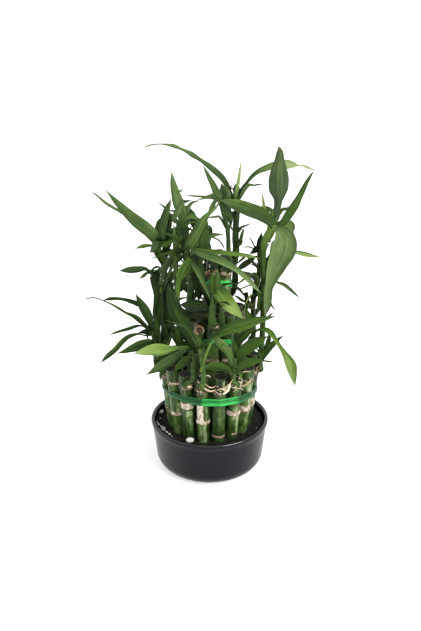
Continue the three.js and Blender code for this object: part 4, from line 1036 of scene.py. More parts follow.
leafRows["topRight"] = [
    (0.98, 4, 0, 0.36, 0.63, [20.3, 252.5, 2.9, 17.2, 258.6, 3.4, 14.6, 264.5, 4.4, 10, 271.3, 5.3,
     3.7, 277.2, 5.4, -2.5, 282.2, 4.3, -7.9, 286, 3, -13.6, 289.7, 4.5, -18.5, 292.6, 3.1,
     -23.4, 294.8, 2.1, -28.7, 297.1, 3.5, -34, 298.3, 2.1, -40.1, 298.9, 1, -46.6, 298.6, 1.2,
     -51.1, 297.3, 1.1, -55.7, 295.3], 0.6),
    (0.98, 0, 0, 0.7, 0.88, [22, 255.1, 3, 22.9, 261.9, 3.2, 24.2, 269.5, 2.7, 25.2, 277.8, 1.8,
     26.5, 289.2], 0.3),
    (0.98, 6, 24, 0.28, 0.88, [26.2, 254.6, 3.4, 27.9, 260.3, 4.2, 31.6, 265.6, 2.7, 35.8, 270.6, 3.4,
     40.9, 274.4, 4.1, 46.8, 276.7, 5.3, 53.2, 278.7, 6.4, 59.6, 279.6, 7.6, 66.1, 279.5, 8.1,
     70.5, 279, 5.8, 74.5, 278.2, 2.1, 78, 278.1, 0.9, 82.5, 276.5, 2.3, 87.1, 274.5, 1.5,
     92.9, 273.2], 0.5),
    (0.98, 4, 4, 0.58, 0.5, [27.8, 257.7, 3, 30.2, 262.3, 3.9, 33.1, 264.6, 2.9, 37.3, 264.3, 1.7,
     41.9, 265, 1.3, 46.6, 263.6], 0.7),
    (0.5, 2, 0, 0.43, 0.43, [26.1, 227, 3.1, 27.7, 229.1, 2.1, 31.9, 230.8, 1.4,
     37.4, 233.6], 0.3, "frontUp"),
    (0.4, 2, 0, 0.43, 0.38, [26.2, 216.3, 2.9, 27.4, 221, 2.9, 28.6, 226, 1.9, 28.9, 229.3], 0.3),
    (0.25, 2, 0, 0.26, 0.28, [24.1, 211.9, 2.6, 26.6, 214.8, 3.4, 28.7, 217.8], 0.3),
    (0.98, 4, 2, 0.38, 0.38, [20.6, 255.1, 2.5, 18.5, 256.6, 1.3, 15.5, 256], 0.3, "frontUp"),
    (0.98, 4, 2, 0.48, 0.48, [20.2, 260.2, 1.2, 17.6, 263, 1.3, 21.7, 267], 0.6),
    (0.8, 4, 2, 0.23, 0.23, [20.4, 240.4, 3.7, 18.3, 235.4, 3.1, 17.9, 230.3, 2.1, 18.8, 226.1], 0.3),
]
shoots["centreLeft"] = {
    "root": ("middle", 8, 200, 150.5),
    "stem": [(-17, -18, 154.8), (-17.7, -18.8, 170), (-16.6, -19.6, 183.9), (-19, -20.4, 199.4),
        (-19.7, -21.2, 211.1), (-17.9, -22, 219.1)],
    "fill": {"count": 3, "from": 120, "to": 200, "length": 30, "width": 7, "skip": [0]},
}
leafRows["centreLeft"] = [
    (0.98, -23, -29, 0.38, 0.55, [-19.1, 215.8, 5.8, -16.1, 222.1, 7.8, -12.3, 229.1, 8.6, -8.2, 236.5, 7.7,
     -4.1, 243.4, 5.8, -0.4, 248.2, 3.2, 3.2, 252.1, 1.8, 8, 257.2], 0.3),
    (0.8, -28, -46, 0.36, 0.7, [-13.6, 215.6, 3.3, -7, 215.1, 5.6, 0.4, 213.4, 6.4, 7.8, 211, 6.4,
     15.1, 207.6, 5.2, 21.6, 204.2, 4.4, 27.3, 200.1, 4.6, 32.2, 196.1, 4.4, 36.7, 191.6, 3.3,
     42.4, 185.8], 0.55),
    (0.98, -24, -30, 0.5, 0.72, [-8.7, 216.5, 2.5, -1.3, 216.1, 2.8, 4.5, 215.3, 4, 14.4, 214.6, 3.8,
     25.1, 213.5, 3.6, 34.2, 212.3, 2.5, 41.6, 211.1]),
    (0.65, -22, -20, 0.3, 0.4, [-8.8, 205.1, 5, -6.3, 211.9, 7.5, -4.9, 218.8, 8.3, -4.3, 225.5, 8.1,
     -3.4, 232.3, 5.8, -2.5, 238.1, 2.8, -1.9, 242.6], 0.2),
    (0.98, -18, -22, 0.42, 0.52, [-7.1, 224.3, 4.2, -1.3, 226.9, 5, 3.7, 228, 3.6, 8.2, 228.7, 1.7,
     12.8, 229.2], 0.3),
    (0.98, -20, -20, 0.5, 0.6, [-15.4, 217.5, 3.3, -11.7, 220.5, 5, -8.7, 224, 3.3, -6.7, 227]),
    (0.98, -18, -18, 0.3, 0.3, [-2.1, 225.1, 1.2, 3.7, 224.9, 1.3, 8.3, 222.3, 1.3, 11.2, 218.1, 1.3,
     13.2, 213.4]),
    (0.8, -28, -36, 0.46, 0.56, [-16.1, 210.4, 2.5, -18, 206.1, 7.1, -21.1, 201.3, 9.1, -23.8, 196.1, 6.6,
     -25.5, 191.3, 3.8, -25.9, 183, 3.5, -25.8, 173.7]),
    (0.8, -26, -38, 0.42, 0.6, [-18.7, 211.5, 2, -14.5, 206.7, 3.3, -10, 199.6, 3.6, -5.4, 191.7, 3.7,
     -1.9, 184.6, 3, 0.4, 178], 0.4),
    (0.8, -20, -24, 0.28, 0.4, [-15.5, 210.6, 5, -10.9, 205.6, 8.4, -7.6, 199.8, 6.7, -5.5, 193, 3.4,
     -3.4, 187.1], 0.4),
    (0.8, -22, -22, 0.2, 0.3, [-22.1, 210.3, 3.3, -25.9, 207.7, 4.2, -29.4, 203.3, 2.5, -31.6, 198], 0.5),
    (0.8, -16, -16, 0.2, 0.3, [-21.5, 213.7, 4.2, -21, 220.7, 5.9, -19.6, 226.7, 5, -17.5, 231.9], 0.4),
    (0.8, -18, -18, 0.25, 0.35, [-21.4, 212.6, 3.4, -26, 214.3, 4.2, -31.1, 212.6, 4.2, -34.9, 208.2]),
    (0.65, -8, -6, 0.14, 0.2, [-20.2, 200.6, 5.1, -16.9, 193.2, 7.8, -13.1, 183.9, 7.8, -10.5, 174.5, 5.2,
     -8.9, 165]),
    (0.65, 0, 2, 0.12, 0.16, [-12.7, 198, 5.2, -9.3, 188.7, 8.7, -8, 178.3, 8.8, -8.9, 167.8, 5.3,
     -10.3, 159.1]),
    (0.51, -10, -10, 0.16, 0.24, [-24.8, 175.8, 4.3, -22.1, 184, 6, -18.5, 191.3, 5.2, -16.3, 197.6]),
]
shoots["upperLeft"] = {
    "root": ("middle", 7, 185, 150.5), "tone": 0.34,
    "stem": [(-27.9, -4, 158.7), (-28.5, -4.7, 174), (-29.1, -5.3, 188.1), (-28.8, -6, 203.7),
        (-26.4, -6.7, 217.2), (-24.1, -7.3, 228.8), (-23.5, -8, 235.9)],
    "fill": {"count": 5, "from": 60, "to": 150, "length": 34, "width": 7.5, "skip": [1, 2, 3, 4]},
}
leafRows["upperLeft"] = [
    (0.82, -9, -13, 0.32, 0.64, [-21.9, 230, 5, -22.2, 237, 7, -23.5, 244.8, 8.3, -25.8, 253, 9.6,
     -28, 261.4, 7.4, -29.5, 268.6, 5.4, -30.3, 274.4, 2.9, -31, 279.5], 0.5),
    (0.98, -6, -6, 0.52, 0.52, [-27, 259, 1.7, -24.1, 261.5, 1.8, -21.3, 263.8], 0.7),
    (0.98, -4, -4, 0.52, 0.52, [-23.9, 250.1, 3.8, -19.7, 252.4, 2.5, -13.8, 253.5], 0.7, "frontUp"),
    (0.98, -6, -8, 0.44, 0.52, [-20.6, 238.6, 5, -19.3, 244.8, 4.7, -16.7, 249.7, 3.3, -13.3, 252.8, 2,
     -7.9, 253.2], 0.5),
    (0.98, -10, -14, 0.52, 0.56, [-20.1, 239.2, 2.5, -15.4, 242, 5.5, -12.1, 241.2, 3.8,
     -8.5, 238.3], 0.4, "frontUp"),
    (0.98, -10, -14, 0.47, 0.52, [-21.4, 232.8, 3.4, -16.3, 236.1, 2.2, -11.3, 237.5, 1.5,
     -6.3, 239.6], 0.4, "frontUp"),
    (0.82, -8, -8, 0.42, 0.52, [-19.9, 226.2, 1.7, -16.9, 229.7, 1.7, -13.9, 233.1]),
    (0.98, -8, -8, 0.42, 0.44, [-21.9, 232.3, 7.6, -21, 239.2, 6.7, -20.6, 246, 3.3, -20.8, 251.1]),
    (0.98, -10, -12, 0.44, 0.52, [-26.4, 236.2, 4.2, -29.6, 239.8, 5, -26.2, 245.9, 4.2, -22.7, 252.7, 2.5,
     -21, 256.2], 0.6),
    (0.69, -6, -6, 0.44, 0.52, [-22.7, 210.7, 5.1, -20.9, 218.6, 6.8, -19.9, 227.4, 5.1, -19, 235.2]),
    (0.69, -6, -6, 0.52, 0.57, [-25.1, 219.5, 4.2, -25.4, 226.5, 5.9, -26.2, 232.6, 4.2, -28.2, 238.6]),
    (0.82, -4, -2, 0.34, 0.36, [-28.5, 226, 3.4, -31.9, 227.4, 3.1, -35.8, 228.5], 0.4, "frontUp"),
    (0.69, -10, -12, 0.72, 0.77, [-23.3, 220.7, 5.1, -20.2, 224.4, 4.2, -17.2, 226.4]),
    (0.4, -16, -16, 0.54, 0.62, [-29.5, 211.9, 2.5, -29.3, 218.9, 3, -29.3, 225.8, 2.7, -29.5, 232.7, 1.5,
     -29.9, 237.8], 0.4),
]
shoots["farLeft"] = {
    "root": ("outer", 11, 160, 99.5),
    "stem": [(-40.2, 24, 153.8), (-39.7, 20.4, 169.7), (-40, 16.8, 183.4), (-42.6, 13.2, 195.8),
        (-45.6, 9.6, 207), (-46.5, 6, 213.5)],
    "fill": {"count": 6, "from": 50, "to": 130, "length": 40, "width": 8, "skip": [1]},
}
leafRows["farLeft"] = [
    (0.98, 2, -15, 0.5, 0.5, [-45.7, 219.4, 6.9, -50.1, 224.4, 10.3, -55.3, 229.7, 11, -61.6, 235.6, 10.5,
     -68.3, 242.6, 8.4, -74, 249.5, 6.3, -78.8, 255.6, 4, -82, 260.3, 2, -86, 265.5], 0.4),
    (0.98, 12, 20, 0.5, 0.6, [-68.9, 233.2, 2.6, -77.4, 239.4, 2.4, -84.3, 243.3, 2.6, -90.3, 246.9, 2.6,
     -95.5, 251.2, 1.7, -99, 253.7, 1.4, -103.8, 255.6], 0.4),
    (0.98, 4, 2, 0.6, 0.68, [-49, 211.7, 1.7, -53.3, 212, 2.9, -58.5, 211.4, 3.5, -65.6, 209.3]),
    (0.98, 0, -3, 0.32, 0.38, [-45.1, 217.3, 6.9, -45.8, 213.2, 8.1, -48.7, 209.6, 5.2, -52.1, 207.7], 0.6),
    (0.8, 2, -4, 0.5, 0.58, [-44.6, 211.9, 6, -40.1, 214.1, 8.3, -35.2, 216.1, 6, -30, 218.9, 2.9,
     -23.5, 221.3]),
    (0.98, 2, -4, 0.32, 0.5, [-41, 217.2, 5.2, -40.7, 225.5, 6.3, -39, 234.6, 7.3, -36.3, 243.6, 5.6,
     -34, 249.8, 3.4, -31.9, 255.2], 0.4),
    (0.98, 4, 0, 0.26, 0.3, [-38.5, 216.6, 3.5, -36.5, 225, 4.3, -35.4, 233.3, 3.4, -35.2, 241.4], 0.4),
    (0.98, 2, 2, 0.42, 0.5, [-33.7, 235.7, 3.4, -35.3, 241.6, 2.9, -38.1, 246.1, 2.2, -45.6, 252.1], 0.4),
    (0.98, 4, 4, 0.4, 0.5, [-41.5, 234.8, 2.1, -44.2, 231.4, 1.7, -46.9, 225.1]),
    (0.98, 6, 6, 0.3, 0.4, [-35.9, 224.1, 3.5, -34, 229.9, 3.4, -32.6, 235.6, 2.1, -30.4, 240.8]),
    (0.8, 6, 4, 0.26, 0.3, [-40.7, 204.3, 6.1, -37.7, 199.1, 7.5, -37.8, 191.9, 5.3, -40.1, 184.7]),
    (0.8, 6, 6, 0.24, 0.28, [-36.2, 207, 5.2, -32.4, 202.5, 6.1, -33, 195.2, 4.4, -35.8, 187.8]),
    (0.8, 4, 4, 0.24, 0.24, [-47.5, 205.8, 3.1, -42.9, 197.2, 3, -40.8, 192.1]),
]
shoots["leftCrown"] = {
    "root": ("outer", 12, 172, 99.5),
    "stem": [(-47, 9, 138), (-46.6, 8.4, 152), (-46.3, 7.8, 163.7), (-47.2, 7.2, 175.4), (-49.6, 6.6, 184),
        (-52.1, 6, 188.4)],
    "fill": {"count": 4, "from": 50, "to": 110, "length": 30, "width": 6, "skip": [3]},
}
leafRows["leftCrown"] = [
    (0.98, 4, 0, 0.3, 0.34, [-56.7, 190.7, 3.5, -63.2, 190.4, 5.8, -70.1, 190.2, 5.8, -75.2, 190.1, 3.1,
     -79.5, 189.8], 0.5),
    (0.98, 3, 0, 0.3, 0.34, [-55, 187.1, 2.6, -58, 184.9, 3, -62.3, 182.2], 0.4),
    (0.8, 2, -2, 0.18, 0.26, [-50.7, 184.5, 3.9, -48.5, 177.3, 6.2, -46.3, 169.2, 6.9, -46.7, 160, 6.6,
     -48.7, 150.8, 4.5, -49.5, 141.5], 0.1),
    (0.8, 6, 6, 0.2, 0.2, [-48.2, 186.9, 1.9, -44.7, 183.7, 2.1, -40.9, 178.5]),
    (0.98, 10, 14, 0.3, 0.2, [-49.7, 189, 1.9, -46.3, 189.7, 2.3, -42, 187.9], 0, "frontUp"),
    (0.98, 8, 8, 0.5, 0.5, [-49.2, 187.7, 1.1, -45.6, 187.5, 1.1, -42.1, 185.6]),
    (0.7, -6, -14, 0.35, 0.45, [-28.8, 205.8, 3.4, -33.5, 202.7, 5.8, -37.3, 197.8, 6.5, -39.7, 191.6, 5.1,
     -40.9, 185.8, 2.9, -41.3, 180.9], 0.7),
    (0.7, -6, -8, 0.5, 0.55, [-42.1, 177.1, 1.2, -42, 172.8, 1.6, -42.7, 166.7], 0),
    (0.05, -2, -2, 0.14, 0.2, [-46.8, 134.7, 4.5, -45.2, 144.4, 6.8, -44.1, 154, 6.8, -43, 163.5, 4.4,
     -41.6, 172.9], 0),
    (0.05, 4, 4, 0.12, 0.2, [-42.5, 126.2, 4.6, -39.9, 137, 7.8, -38.3, 148.7, 8.1, -38.1, 160.2, 6.3,
     -39.1, 171.6, 3.5, -39.8, 181], 0),
    (0.05, 8, 8, 0.1, 0.18, [-36.2, 130.4, 4.6, -33.7, 142.2, 7.3, -32.6, 153.9, 7.2, -33.2, 165.4, 5.4,
     -34.8, 176.8, 2.7, -35.9, 186.2], 0),
]
shoots["leftLow"] = {
    "root": ("outer", 13, 193, 99.5),
    "stem": [(-48.5, -9, 106.3), (-48.3, -7.3, 117.5), (-49.5, -5.7, 126.6), (-51.6, -4, 134.7)],
}
leafRows["leftLow"] = [
    (0.98, -4, -4, 0.16, 0.3, [-51.9, 140.4, 4.5, -53.9, 147.1, 7.7, -57.2, 154.8, 8.5, -60.5, 161, 6.7,
     -63, 166.1, 3.3, -65.2, 170.8], 0.2),
    (0.98, 0, 0, 0.18, 0.25, [-58.5, 154.1, 2.7, -63.2, 158.7, 4.4, -69.8, 161.6, 4.1, -75.9, 163.4, 2.8,
     -81.2, 164.2, 2.8, -87.4, 164.1, 3.2, -91.4, 163.4, 2.1, -94.6, 162.2], 0.2),
    (0.98, -2, -6, 0.25, 0.42, [-55.3, 136.6, 3.2, -59.6, 141.3, 4.1, -64.3, 146.3, 4.6, -69, 149.7, 3.4,
     -74.6, 152.3, 2.1, -81, 157, 2.3, -87, 160.8, 1.6, -93.4, 163.9, 1.1, -99.7, 166.8, 1.1,
     -105.8, 166.7, 1.1, -112.5, 165]),
    (0.98, -6, -10, 0.2, 0.3, [-55.8, 137.8, 1.8, -60.6, 140.7, 1.4, -65.4, 140.8, 3, -72.6, 138.3, 3.2,
     -79.7, 136.5, 2.7, -85, 134.9, 1.8, -89.7, 132.3], 0.2, "frontUp"),
    (0.98, -10, -38, 0.22, 0.34, [-56.1, 132.7, 1.8, -61.5, 135.7, 1.6, -66.9, 136.5, 3.2, -72.2, 135.3, 4.4,
     -77, 132, 4.9, -81.8, 127.3, 4.7, -87.2, 123.6, 4.5, -90.8, 121.3, 2.9, -94, 119.3], 0.1, "frontUp"),
    (0.72, -10, -18, 0.22, 0.42, [-51.9, 126.4, 5.4, -56.7, 125.6, 8.6, -62.8, 124.1, 9.3, -69, 122.5, 6.9,
     -75.5, 120.5, 3.7, -83, 118.6], 0.1),
    (0.98, -2, 0, 0.15, 0.15, [-52.8, 132.1, 6.3, -57.8, 132.8, 5, -65.8, 131]),
    (0.98, -6, -6, 0.12, 0.14, [-55.7, 129.5, 1.3, -53.5, 126.1, 1.4, -51.4, 121.7]),
    (0.1, -6, -4, 0.16, 0.24, [-48.1, 112.8, 3.6, -47.1, 122.4, 6.3, -47.1, 132, 6.8, -47.8, 142.5, 4.5,
     -49, 152.9], 0),
    (0.1, -2, 0, 0.14, 0.2, [-44.3, 110.9, 4.6, -41.7, 119.6, 7.3, -40.6, 129.3, 7.2, -41.4, 138.9, 4.5,
     -43.5, 148.4], 0),
    (0.1, -8, -8, 0.18, 0.26, [-47.6, 106.7, 3.6, -44.7, 114.7, 6.3, -40, 122.6, 7.2, -35.8, 130.4, 4.5,
     -33.4, 138.2], 0),
    (0.32, -16, -22, 0.2, 0.25, [-46, 115.5, 4.5, -42.3, 114.4, 5.3, -45.8, 112.4, 3.5, -50.9, 114.9]),
    (0.32, -12, -16, 0.2, 0.2, [-46.4, 107.6, 3.6, -47.7, 106.1, 3.1, -49.4, 104.6]),
    (0.32, -20, -20, 0.2, 0.24, [-37, 107.5, 3.6, -41.2, 103.1, 5.7, -43.8, 97.8, 4.5, -43.3, 92.1]),
]
shoots["frontLeft"] = {
    "root": ("outer", 15, 262, 99.5), "tone": 0.35,
    "stem": [(-14.3, -43, 107.4), (-14.2, -42, 116.5), (-14.1, -41, 125.5), (-15.8, -40, 133.4)],
    "fill": {"count": 3, "from": 60, "to": 130, "length": 30, "width": 6, "skip": [0]},
}
leafRows["frontLeft"] = [
    (0.98, -46, -62, 0.44, 0.86, [-19, 137.9, 2, -25.2, 138.3, 3, -30.9, 138.5, 5.3, -37, 138.7, 8.6,
     -43.5, 139.7, 10.4, -49.9, 140.2, 8.3, -56.4, 139.6, 4.6, -62.9, 139]),
    (0.98, -50, -63, 0.22, 0.36, [-19.7, 137.4, 3, -25.1, 134.7, 5.5, -32.1, 130.7, 8.2, -39.1, 127.5, 7.5,
     -45.2, 124, 5.3, -53.1, 120], 0.4),
    (0.72, -44, -46, 0.14, 0.28, [-16.6, 127.7, 4.2, -21.3, 123.8, 7.6, -26, 119.8, 6, -30.7, 115.4]),
    (0.72, -44, -46, 0.42, 0.47, [-21.7, 127.2, 1.7, -17.4, 128.3, 1.7, -11.5, 128.2], 0, "frontUp"),
    (0.98, -34, -30, 0.22, 0.32, [-12.5, 135.3, 6, -16.3, 142.3, 6.5, -18.8, 150.2, 5.1, -20.4, 158.1, 3.4,
     -21.7, 165], 0.2),
    (0.98, -36, -30, 0.12, 0.24, [-24.4, 135.2, 3.4, -27.4, 140.9, 4.6, -28.2, 147.5, 3.9, -32.1, 151.2]),
    (0.98, -30, -26, 0.06, 0.14, [-25.9, 132.5, 3.5, -25, 139.5, 5.2, -24.1, 147.3, 6, -26.2, 154.2]),
]
shoots["frontMiddle"] = {
    "root": ("outer", 0, 268, 99.5), "tone": 0.5,
    "stem": [(-5.2, -48, 109.9), (-5.6, -47.3, 121), (-6.8, -46.7, 130), (-8.5, -46, 137.1)],
    "fill": {"count": 2, "from": 60, "to": 150, "length": 24, "width": 6},
}
leafRows["frontMiddle"] = [
    (0.98, -46, -42, 0.33, 0.23, [-12.2, 143.9, 6.2, -18.4, 151.8, 8, -24.5, 160.5, 9.1, -29.1, 169.7, 9.4,
     -31.7, 178.3, 7.4, -32.4, 185.5, 5.4, -32.5, 193.1], 0.05),
    (0.98, -49, -49, 0.36, 0.33, [-18.7, 155.6, 1.3, -27.7, 160.3, 1.7, -38.7, 164.3], 0.3),
    (0.98, -50, -54, 0.27, 0.47, [-3.8, 142.5, 2.5, 2.5, 148.6, 3.8, 9.1, 152.6, 5.8, 16.9, 157.4, 9.1,
     25, 160.3, 10.4, 33.2, 163, 9, 40.5, 165.5, 6.2, 46.9, 167.3, 3.6, 54.6, 169.4], 0.1),
    (0.52, -52, -54, 0.51, 0.71, [-5.1, 125, 2, -3, 133.6, 2, 0.4, 142.6, 1.8, 3.3, 148.3], 0.2),
    (0.72, -46, -46, 0.31, 0.33, [-3.4, 130.5, 4.2, 1.2, 136, 7.6, 7.1, 139.3, 6.7, 12.5, 141.1]),
    (0.98, -46, -46, 0.21, 0.27, [-8.9, 133.3, 4.2, -10.1, 141.6, 5, -8, 148, 4.2, -5.4, 153.4], 0.1),
    (0.52, -47, -47, 0.41, 0.41, [-5.5, 124.4, 4.2, -6.4, 133.7, 5.9, -8, 142, 5, -12.1, 149.3, 3,
     -16.2, 155.2], 0.3),
    (0.52, -50, -52, 0.51, 0.61, [-7.2, 116.5, 2.5, -6.4, 120.6, 3, -2.1, 122.3, 2.9, 0.4, 119.8]),
]
shoots["frontRight"] = {
    "root": ("outer", 2, 280, 99.5), "tone": 0.5, "girth": 0.9,
    "stem": [(20.7, -42, 104), (20.6, -42, 110.7), (20.9, -42, 118.4), (21.7, -42, 125.9)],
    "fill": {"count": 3, "from": 30, "to": 120, "length": 26, "width": 6, "skip": [1]},
}
leafRows["frontRight"] = [
    (0.72, -44, -48, 0.46, 0.57, [19.5, 121.1, 4.6, 17.7, 128.5, 5.6, 14.3, 135.4, 6.7, 9.6, 141.2, 7.2,
     5.4, 145.8, 5, 1.6, 149.8], 0.3),
    (0.98, -42, -40, 0.37, 0.43, [24.7, 125.8, 5.6, 28, 130.9, 8.5, 33.3, 136, 10.5, 38.9, 139.7, 9.3,
     43.9, 142.6, 5.9, 49.4, 145.4]),
    (0.72, -50, -56, 0.35, 0.41, [23.6, 119.3, 4.6, 26.5, 123.1, 6.7, 31.2, 126.1, 8.2, 36.3, 128.5, 6.9,
     41.2, 129.6, 3.5, 46.2, 129.9]),
    (0.52, -51, -53, 0.27, 0.33, [18.1, 115.6, 2.9, 15.1, 119.7, 5.1, 9.6, 122.4, 7.9, 3.3, 123.2, 7.6,
     -1.7, 122.6, 4.2, -5.9, 121.4]),
    (0.72, -40, -40, 0.37, 0.41, [21.8, 119.2, 5.7, 22.8, 126.3, 6.8, 22.5, 132.8, 5.1, 20.3, 138.4, 3.1,
     18.1, 143.1], 0.1),
    (0.98, -38, -36, 0.17, 0.21, [24, 121, 4.3, 25.7, 126.4, 5.1, 27.8, 129.9, 3.4, 30.4, 131.9]),
    (0.52, -44, -44, 0.41, 0.51, [24.8, 113.5, 2.6, 27, 110.6, 2.6, 26.6, 104.9]),
    (0.52, -46, -46, 0.21, 0.21, [19.2, 110.7, 3.1, 16.6, 114.5, 2.6, 10.6, 113.5]),
    (0.98, -34, -28, 0.19, 0.25, [23.5, 136.2, 6.9, 29.1, 142.3, 7.7, 34.2, 146.1, 5.1, 39, 147.6]),
]
shoots["rightLow"] = {
    "root": ("outer", 4, 330, 99.5), "tone": 0.4,
    "stem": [(45.2, -13.7, 110.5), (46.3, -14, 118.6)],
}
leafRows["rightLow"] = [
    (0.54, -15, -16, 0.3, 0.36, [45.5, 110, 3.9, 48.5, 117, 6.2, 52.7, 123.4, 6.2, 57.4, 128.6, 5,
     61.2, 132.4, 2.8, 65.5, 135.8]),
    (0.98, -14, -46, 0.3, 0.78, [34.9, 129.2, 2.7, 36.5, 134.6, 2.3, 39.7, 140.2, 2.3, 43.8, 143.9, 2.4,
     48.9, 144.4, 4.3, 53.1, 142.4, 5, 56.4, 138.3, 4, 59.9, 133.4, 3.3, 64.2, 127.1, 4.8, 68.1, 121.1, 8.3,
     70.6, 116.3, 9.5, 71.8, 111.1, 7.4, 72.8, 105.6, 4.1, 73.5, 101.1]),
    (0.54, -12, -12, 0.4, 0.4, [48.5, 109, 1.4, 53.4, 108.2, 1.6, 58.4, 108.4], 0.6),
    (0.54, -16, -16, 0.25, 0.3, [45.2, 114.5, 2.7, 43.5, 118.9, 2.7, 45.1, 123.8]),
    (0.98, -16, -18, 0.5, 0.3, [47, 120.4, 2.7, 50, 123, 2.3, 48.4, 127.1]),
    (0.98, -8, -8, 0.3, 0.4, [48.1, 115.7, 2.7, 51.5, 122.6, 4.1, 53.1, 129.4, 3.8, 52.5, 136.2]),
]
shoots["middleFront"] = {
    "root": ("middle", 0, 270, 150.5), "tone": 0.4,
    "stem": [(2.9, -30, 163.3), (3.3, -32, 173.2), (2.9, -34, 182.9)],
    "fill": {"count": 2, "from": 300, "to": 380, "length": 26, "width": 6},
}
leafRows["middleFront"] = [
    (0.98, -36, -42, 0.4, 0.92, [5.8, 186.7, 9.9, 9.5, 182.5, 12.4, 14.1, 177.1, 12, 18.5, 171.6, 10.5,
     22.5, 167.5, 7.5, 25.4, 164.9, 3.8, 28.7, 160.8]),
    (0.98, -36, -36, 0.37, 0.45, [4.5, 186.1, 6.6, 5.8, 192.7, 6.9, 6.6, 198.3, 4.1, 6.9, 204.4], 0.1),
    (0.4, -36, -38, 0.31, 0.37, [2.5, 151.9, 6.4, 1.9, 160.4, 6.4, 1.6, 168.7, 4.5, 2.3, 176.9, 2.5,
     3.3, 184.2], 0.3),
    (0.4, -34, -34, 0.25, 0.45, [11, 151.1, 4.2, 10.5, 157.5, 5.1, 10.1, 164.8, 3.4, 8.4, 171.1], 0.4),
    (0.4, -34, -34, 0.2, 0.25, [15.7, 151.1, 4.2, 14.8, 157.5, 3.9, 13.9, 163.9]),
    (0.98, -38, -38, 0.31, 0.45, [2.5, 183.3, 4.1, 1.5, 190.3, 4.1, 2, 197.3, 2.8, 3.3, 203.3]),
]
shoots["middleLeft"] = {
    "root": ("middle", 8, 265, 150.5),
    "stem": [(-2.2, -26, 158.1), (-1.3, -30, 165.2)],
    "fill": {"count": 2, "from": 180, "to": 240, "length": 28, "width": 6},
}
leafRows["middleLeft"] = [
    (0.98, -36, -40, 0.02, 0.04, [-1.3, 168.7, 4.2, -5.5, 170.8, 8, -11.7, 171.6, 11.7, -17.5, 172.6, 8.8,
     -21.6, 173.4, 4.2, -25.3, 173.8], 0.15),
    (0.54, -24, -20, 0.16, 0.24, [-11.8, 134.6, 4.4, -18.8, 137, 7.8, -26.6, 141.3, 7.8, -33.1, 145.6, 5.2,
     -38.7, 148], 0.1),
    (0.54, -26, -24, 0.12, 0.2, [-9.2, 127.8, 4.4, -16.2, 128.6, 7.8, -24, 131.2, 7.8, -30.1, 135.7, 4.3,
     -34.3, 141.2], 0.1),
    (0.98, -28, -24, 0.12, 0.18, [-0.5, 169.7, 3.9, -2.6, 175.7, 4.2, -5.5, 182.5, 5.1, -8, 189.3, 2.5,
     -9.7, 195.1], 0.1),
    (0.54, -30, -32, 0.1, 0.14, [-3, 155.9, 4.3, -7.7, 158.4, 5.1, -13.2, 159.2, 3.4, -18.3, 157.6]),
    (0.98, -30, -34, 0.2, 0.28, [-19.1, 163.2, 5.9, -19.6, 155.5, 6.8, -17.1, 147.7, 5.1,
     -14.2, 140.9], 0.3),
]
shoots["backRight"] = {
    "root": ("outer", 7, 40, 99.5),
    "stem": [(28, 40, 107), (38, 42, 124), (50, 38, 146), (57, 34, 166)],
    "fill": {"count": 8, "from": -20, "to": 80, "length": 40, "width": 8.5, "skip": [1, 2, 3, 5, 6]},
}
shoots["backMiddle"] = {
    "root": ("outer", 8, 85, 99.5),
    "stem": [(7, 50, 104), (6, 54, 118), (4, 58, 134)],
    "fill": {"count": 8, "from": 30, "to": 150, "length": 38, "width": 9, "skip": [3, 7]},
}
leafRows["backMiddle"] = [
    (0.3, 24, 24, 0.08, 0.12, [4, 153.6, 4.6, -0.1, 163.4, 8.3, -2.8, 174.1, 9.1, -2.8, 185.6, 8.2,
     -1.9, 196.9], 0),
    (0.3, 24, 24, 0.06, 0.1, [6.8, 153.6, 4.6, 8.6, 163.4, 8.3, 9, 174.1, 8.2, 8.5, 185.6, 6.3,
     9.3, 197.9], 0),
    (0.3, 26, 26, 0.1, 0.14, [17, 152.9, 4.6, 21.5, 162.7, 6.4, 23.2, 172.4, 6.4, 23.1, 182.1, 4.6,
     23.9, 191.6], 0),
]
shoots["backLeft"] = {
    "root": ("outer", 9, 112, 99.5),
    "stem": [(-13, 47, 106), (-16, 50, 140), (-18, 52, 176)],
    "fill": {"count": 9, "from": 40, "to": 140, "length": 42, "width": 9},
}
shoots["backFarLeft"] = {
    "root": ("outer", 10, 135, 99.5),
    "stem": [(-31, 38, 104), (-38, 42, 122), (-44, 44, 138)],
    "fill": {"count": 9, "from": 50, "to": 150, "length": 42, "width": 8.5},
}
shoots["innerRight"] = {
    "root": ("middle", 3, 15, 150.5),
    "stem": [(34, 12, 156), (33, 18, 163)],
    "fill": {"count": 3, "from": 150, "to": 175, "length": 24, "width": 6, "skip": [0, 2]},
}
leafRows["innerRight"] = [
    (0.54, 12, 12, 0.14, 0.2, [38.4, 156.2, 2.7, 40, 164.9, 3.6, 40.7, 172.6, 2.7, 40.1, 180.1]),
]
shoots["innerBack"] = {
    "root": ("middle", 5, 100, 150.5),
    "stem": [(1, 28, 152), (0, 32, 184), (-2, 34, 214)],
    "fill": {"count": 8, "from": 40, "to": 160, "length": 36, "width": 8, "skip": [3, 6, 7]},
}
shoots["topBack"] = {
    "root": ("inner", 3, 135, 195.4),
    "stem": [(-2, 15, 203), (-8, 19, 216), (-14, 20, 230)],
    "fill": {"count": 8, "from": 90, "to": 200, "length": 34, "width": 7.5, "skip": [0, 6, 7]},
}
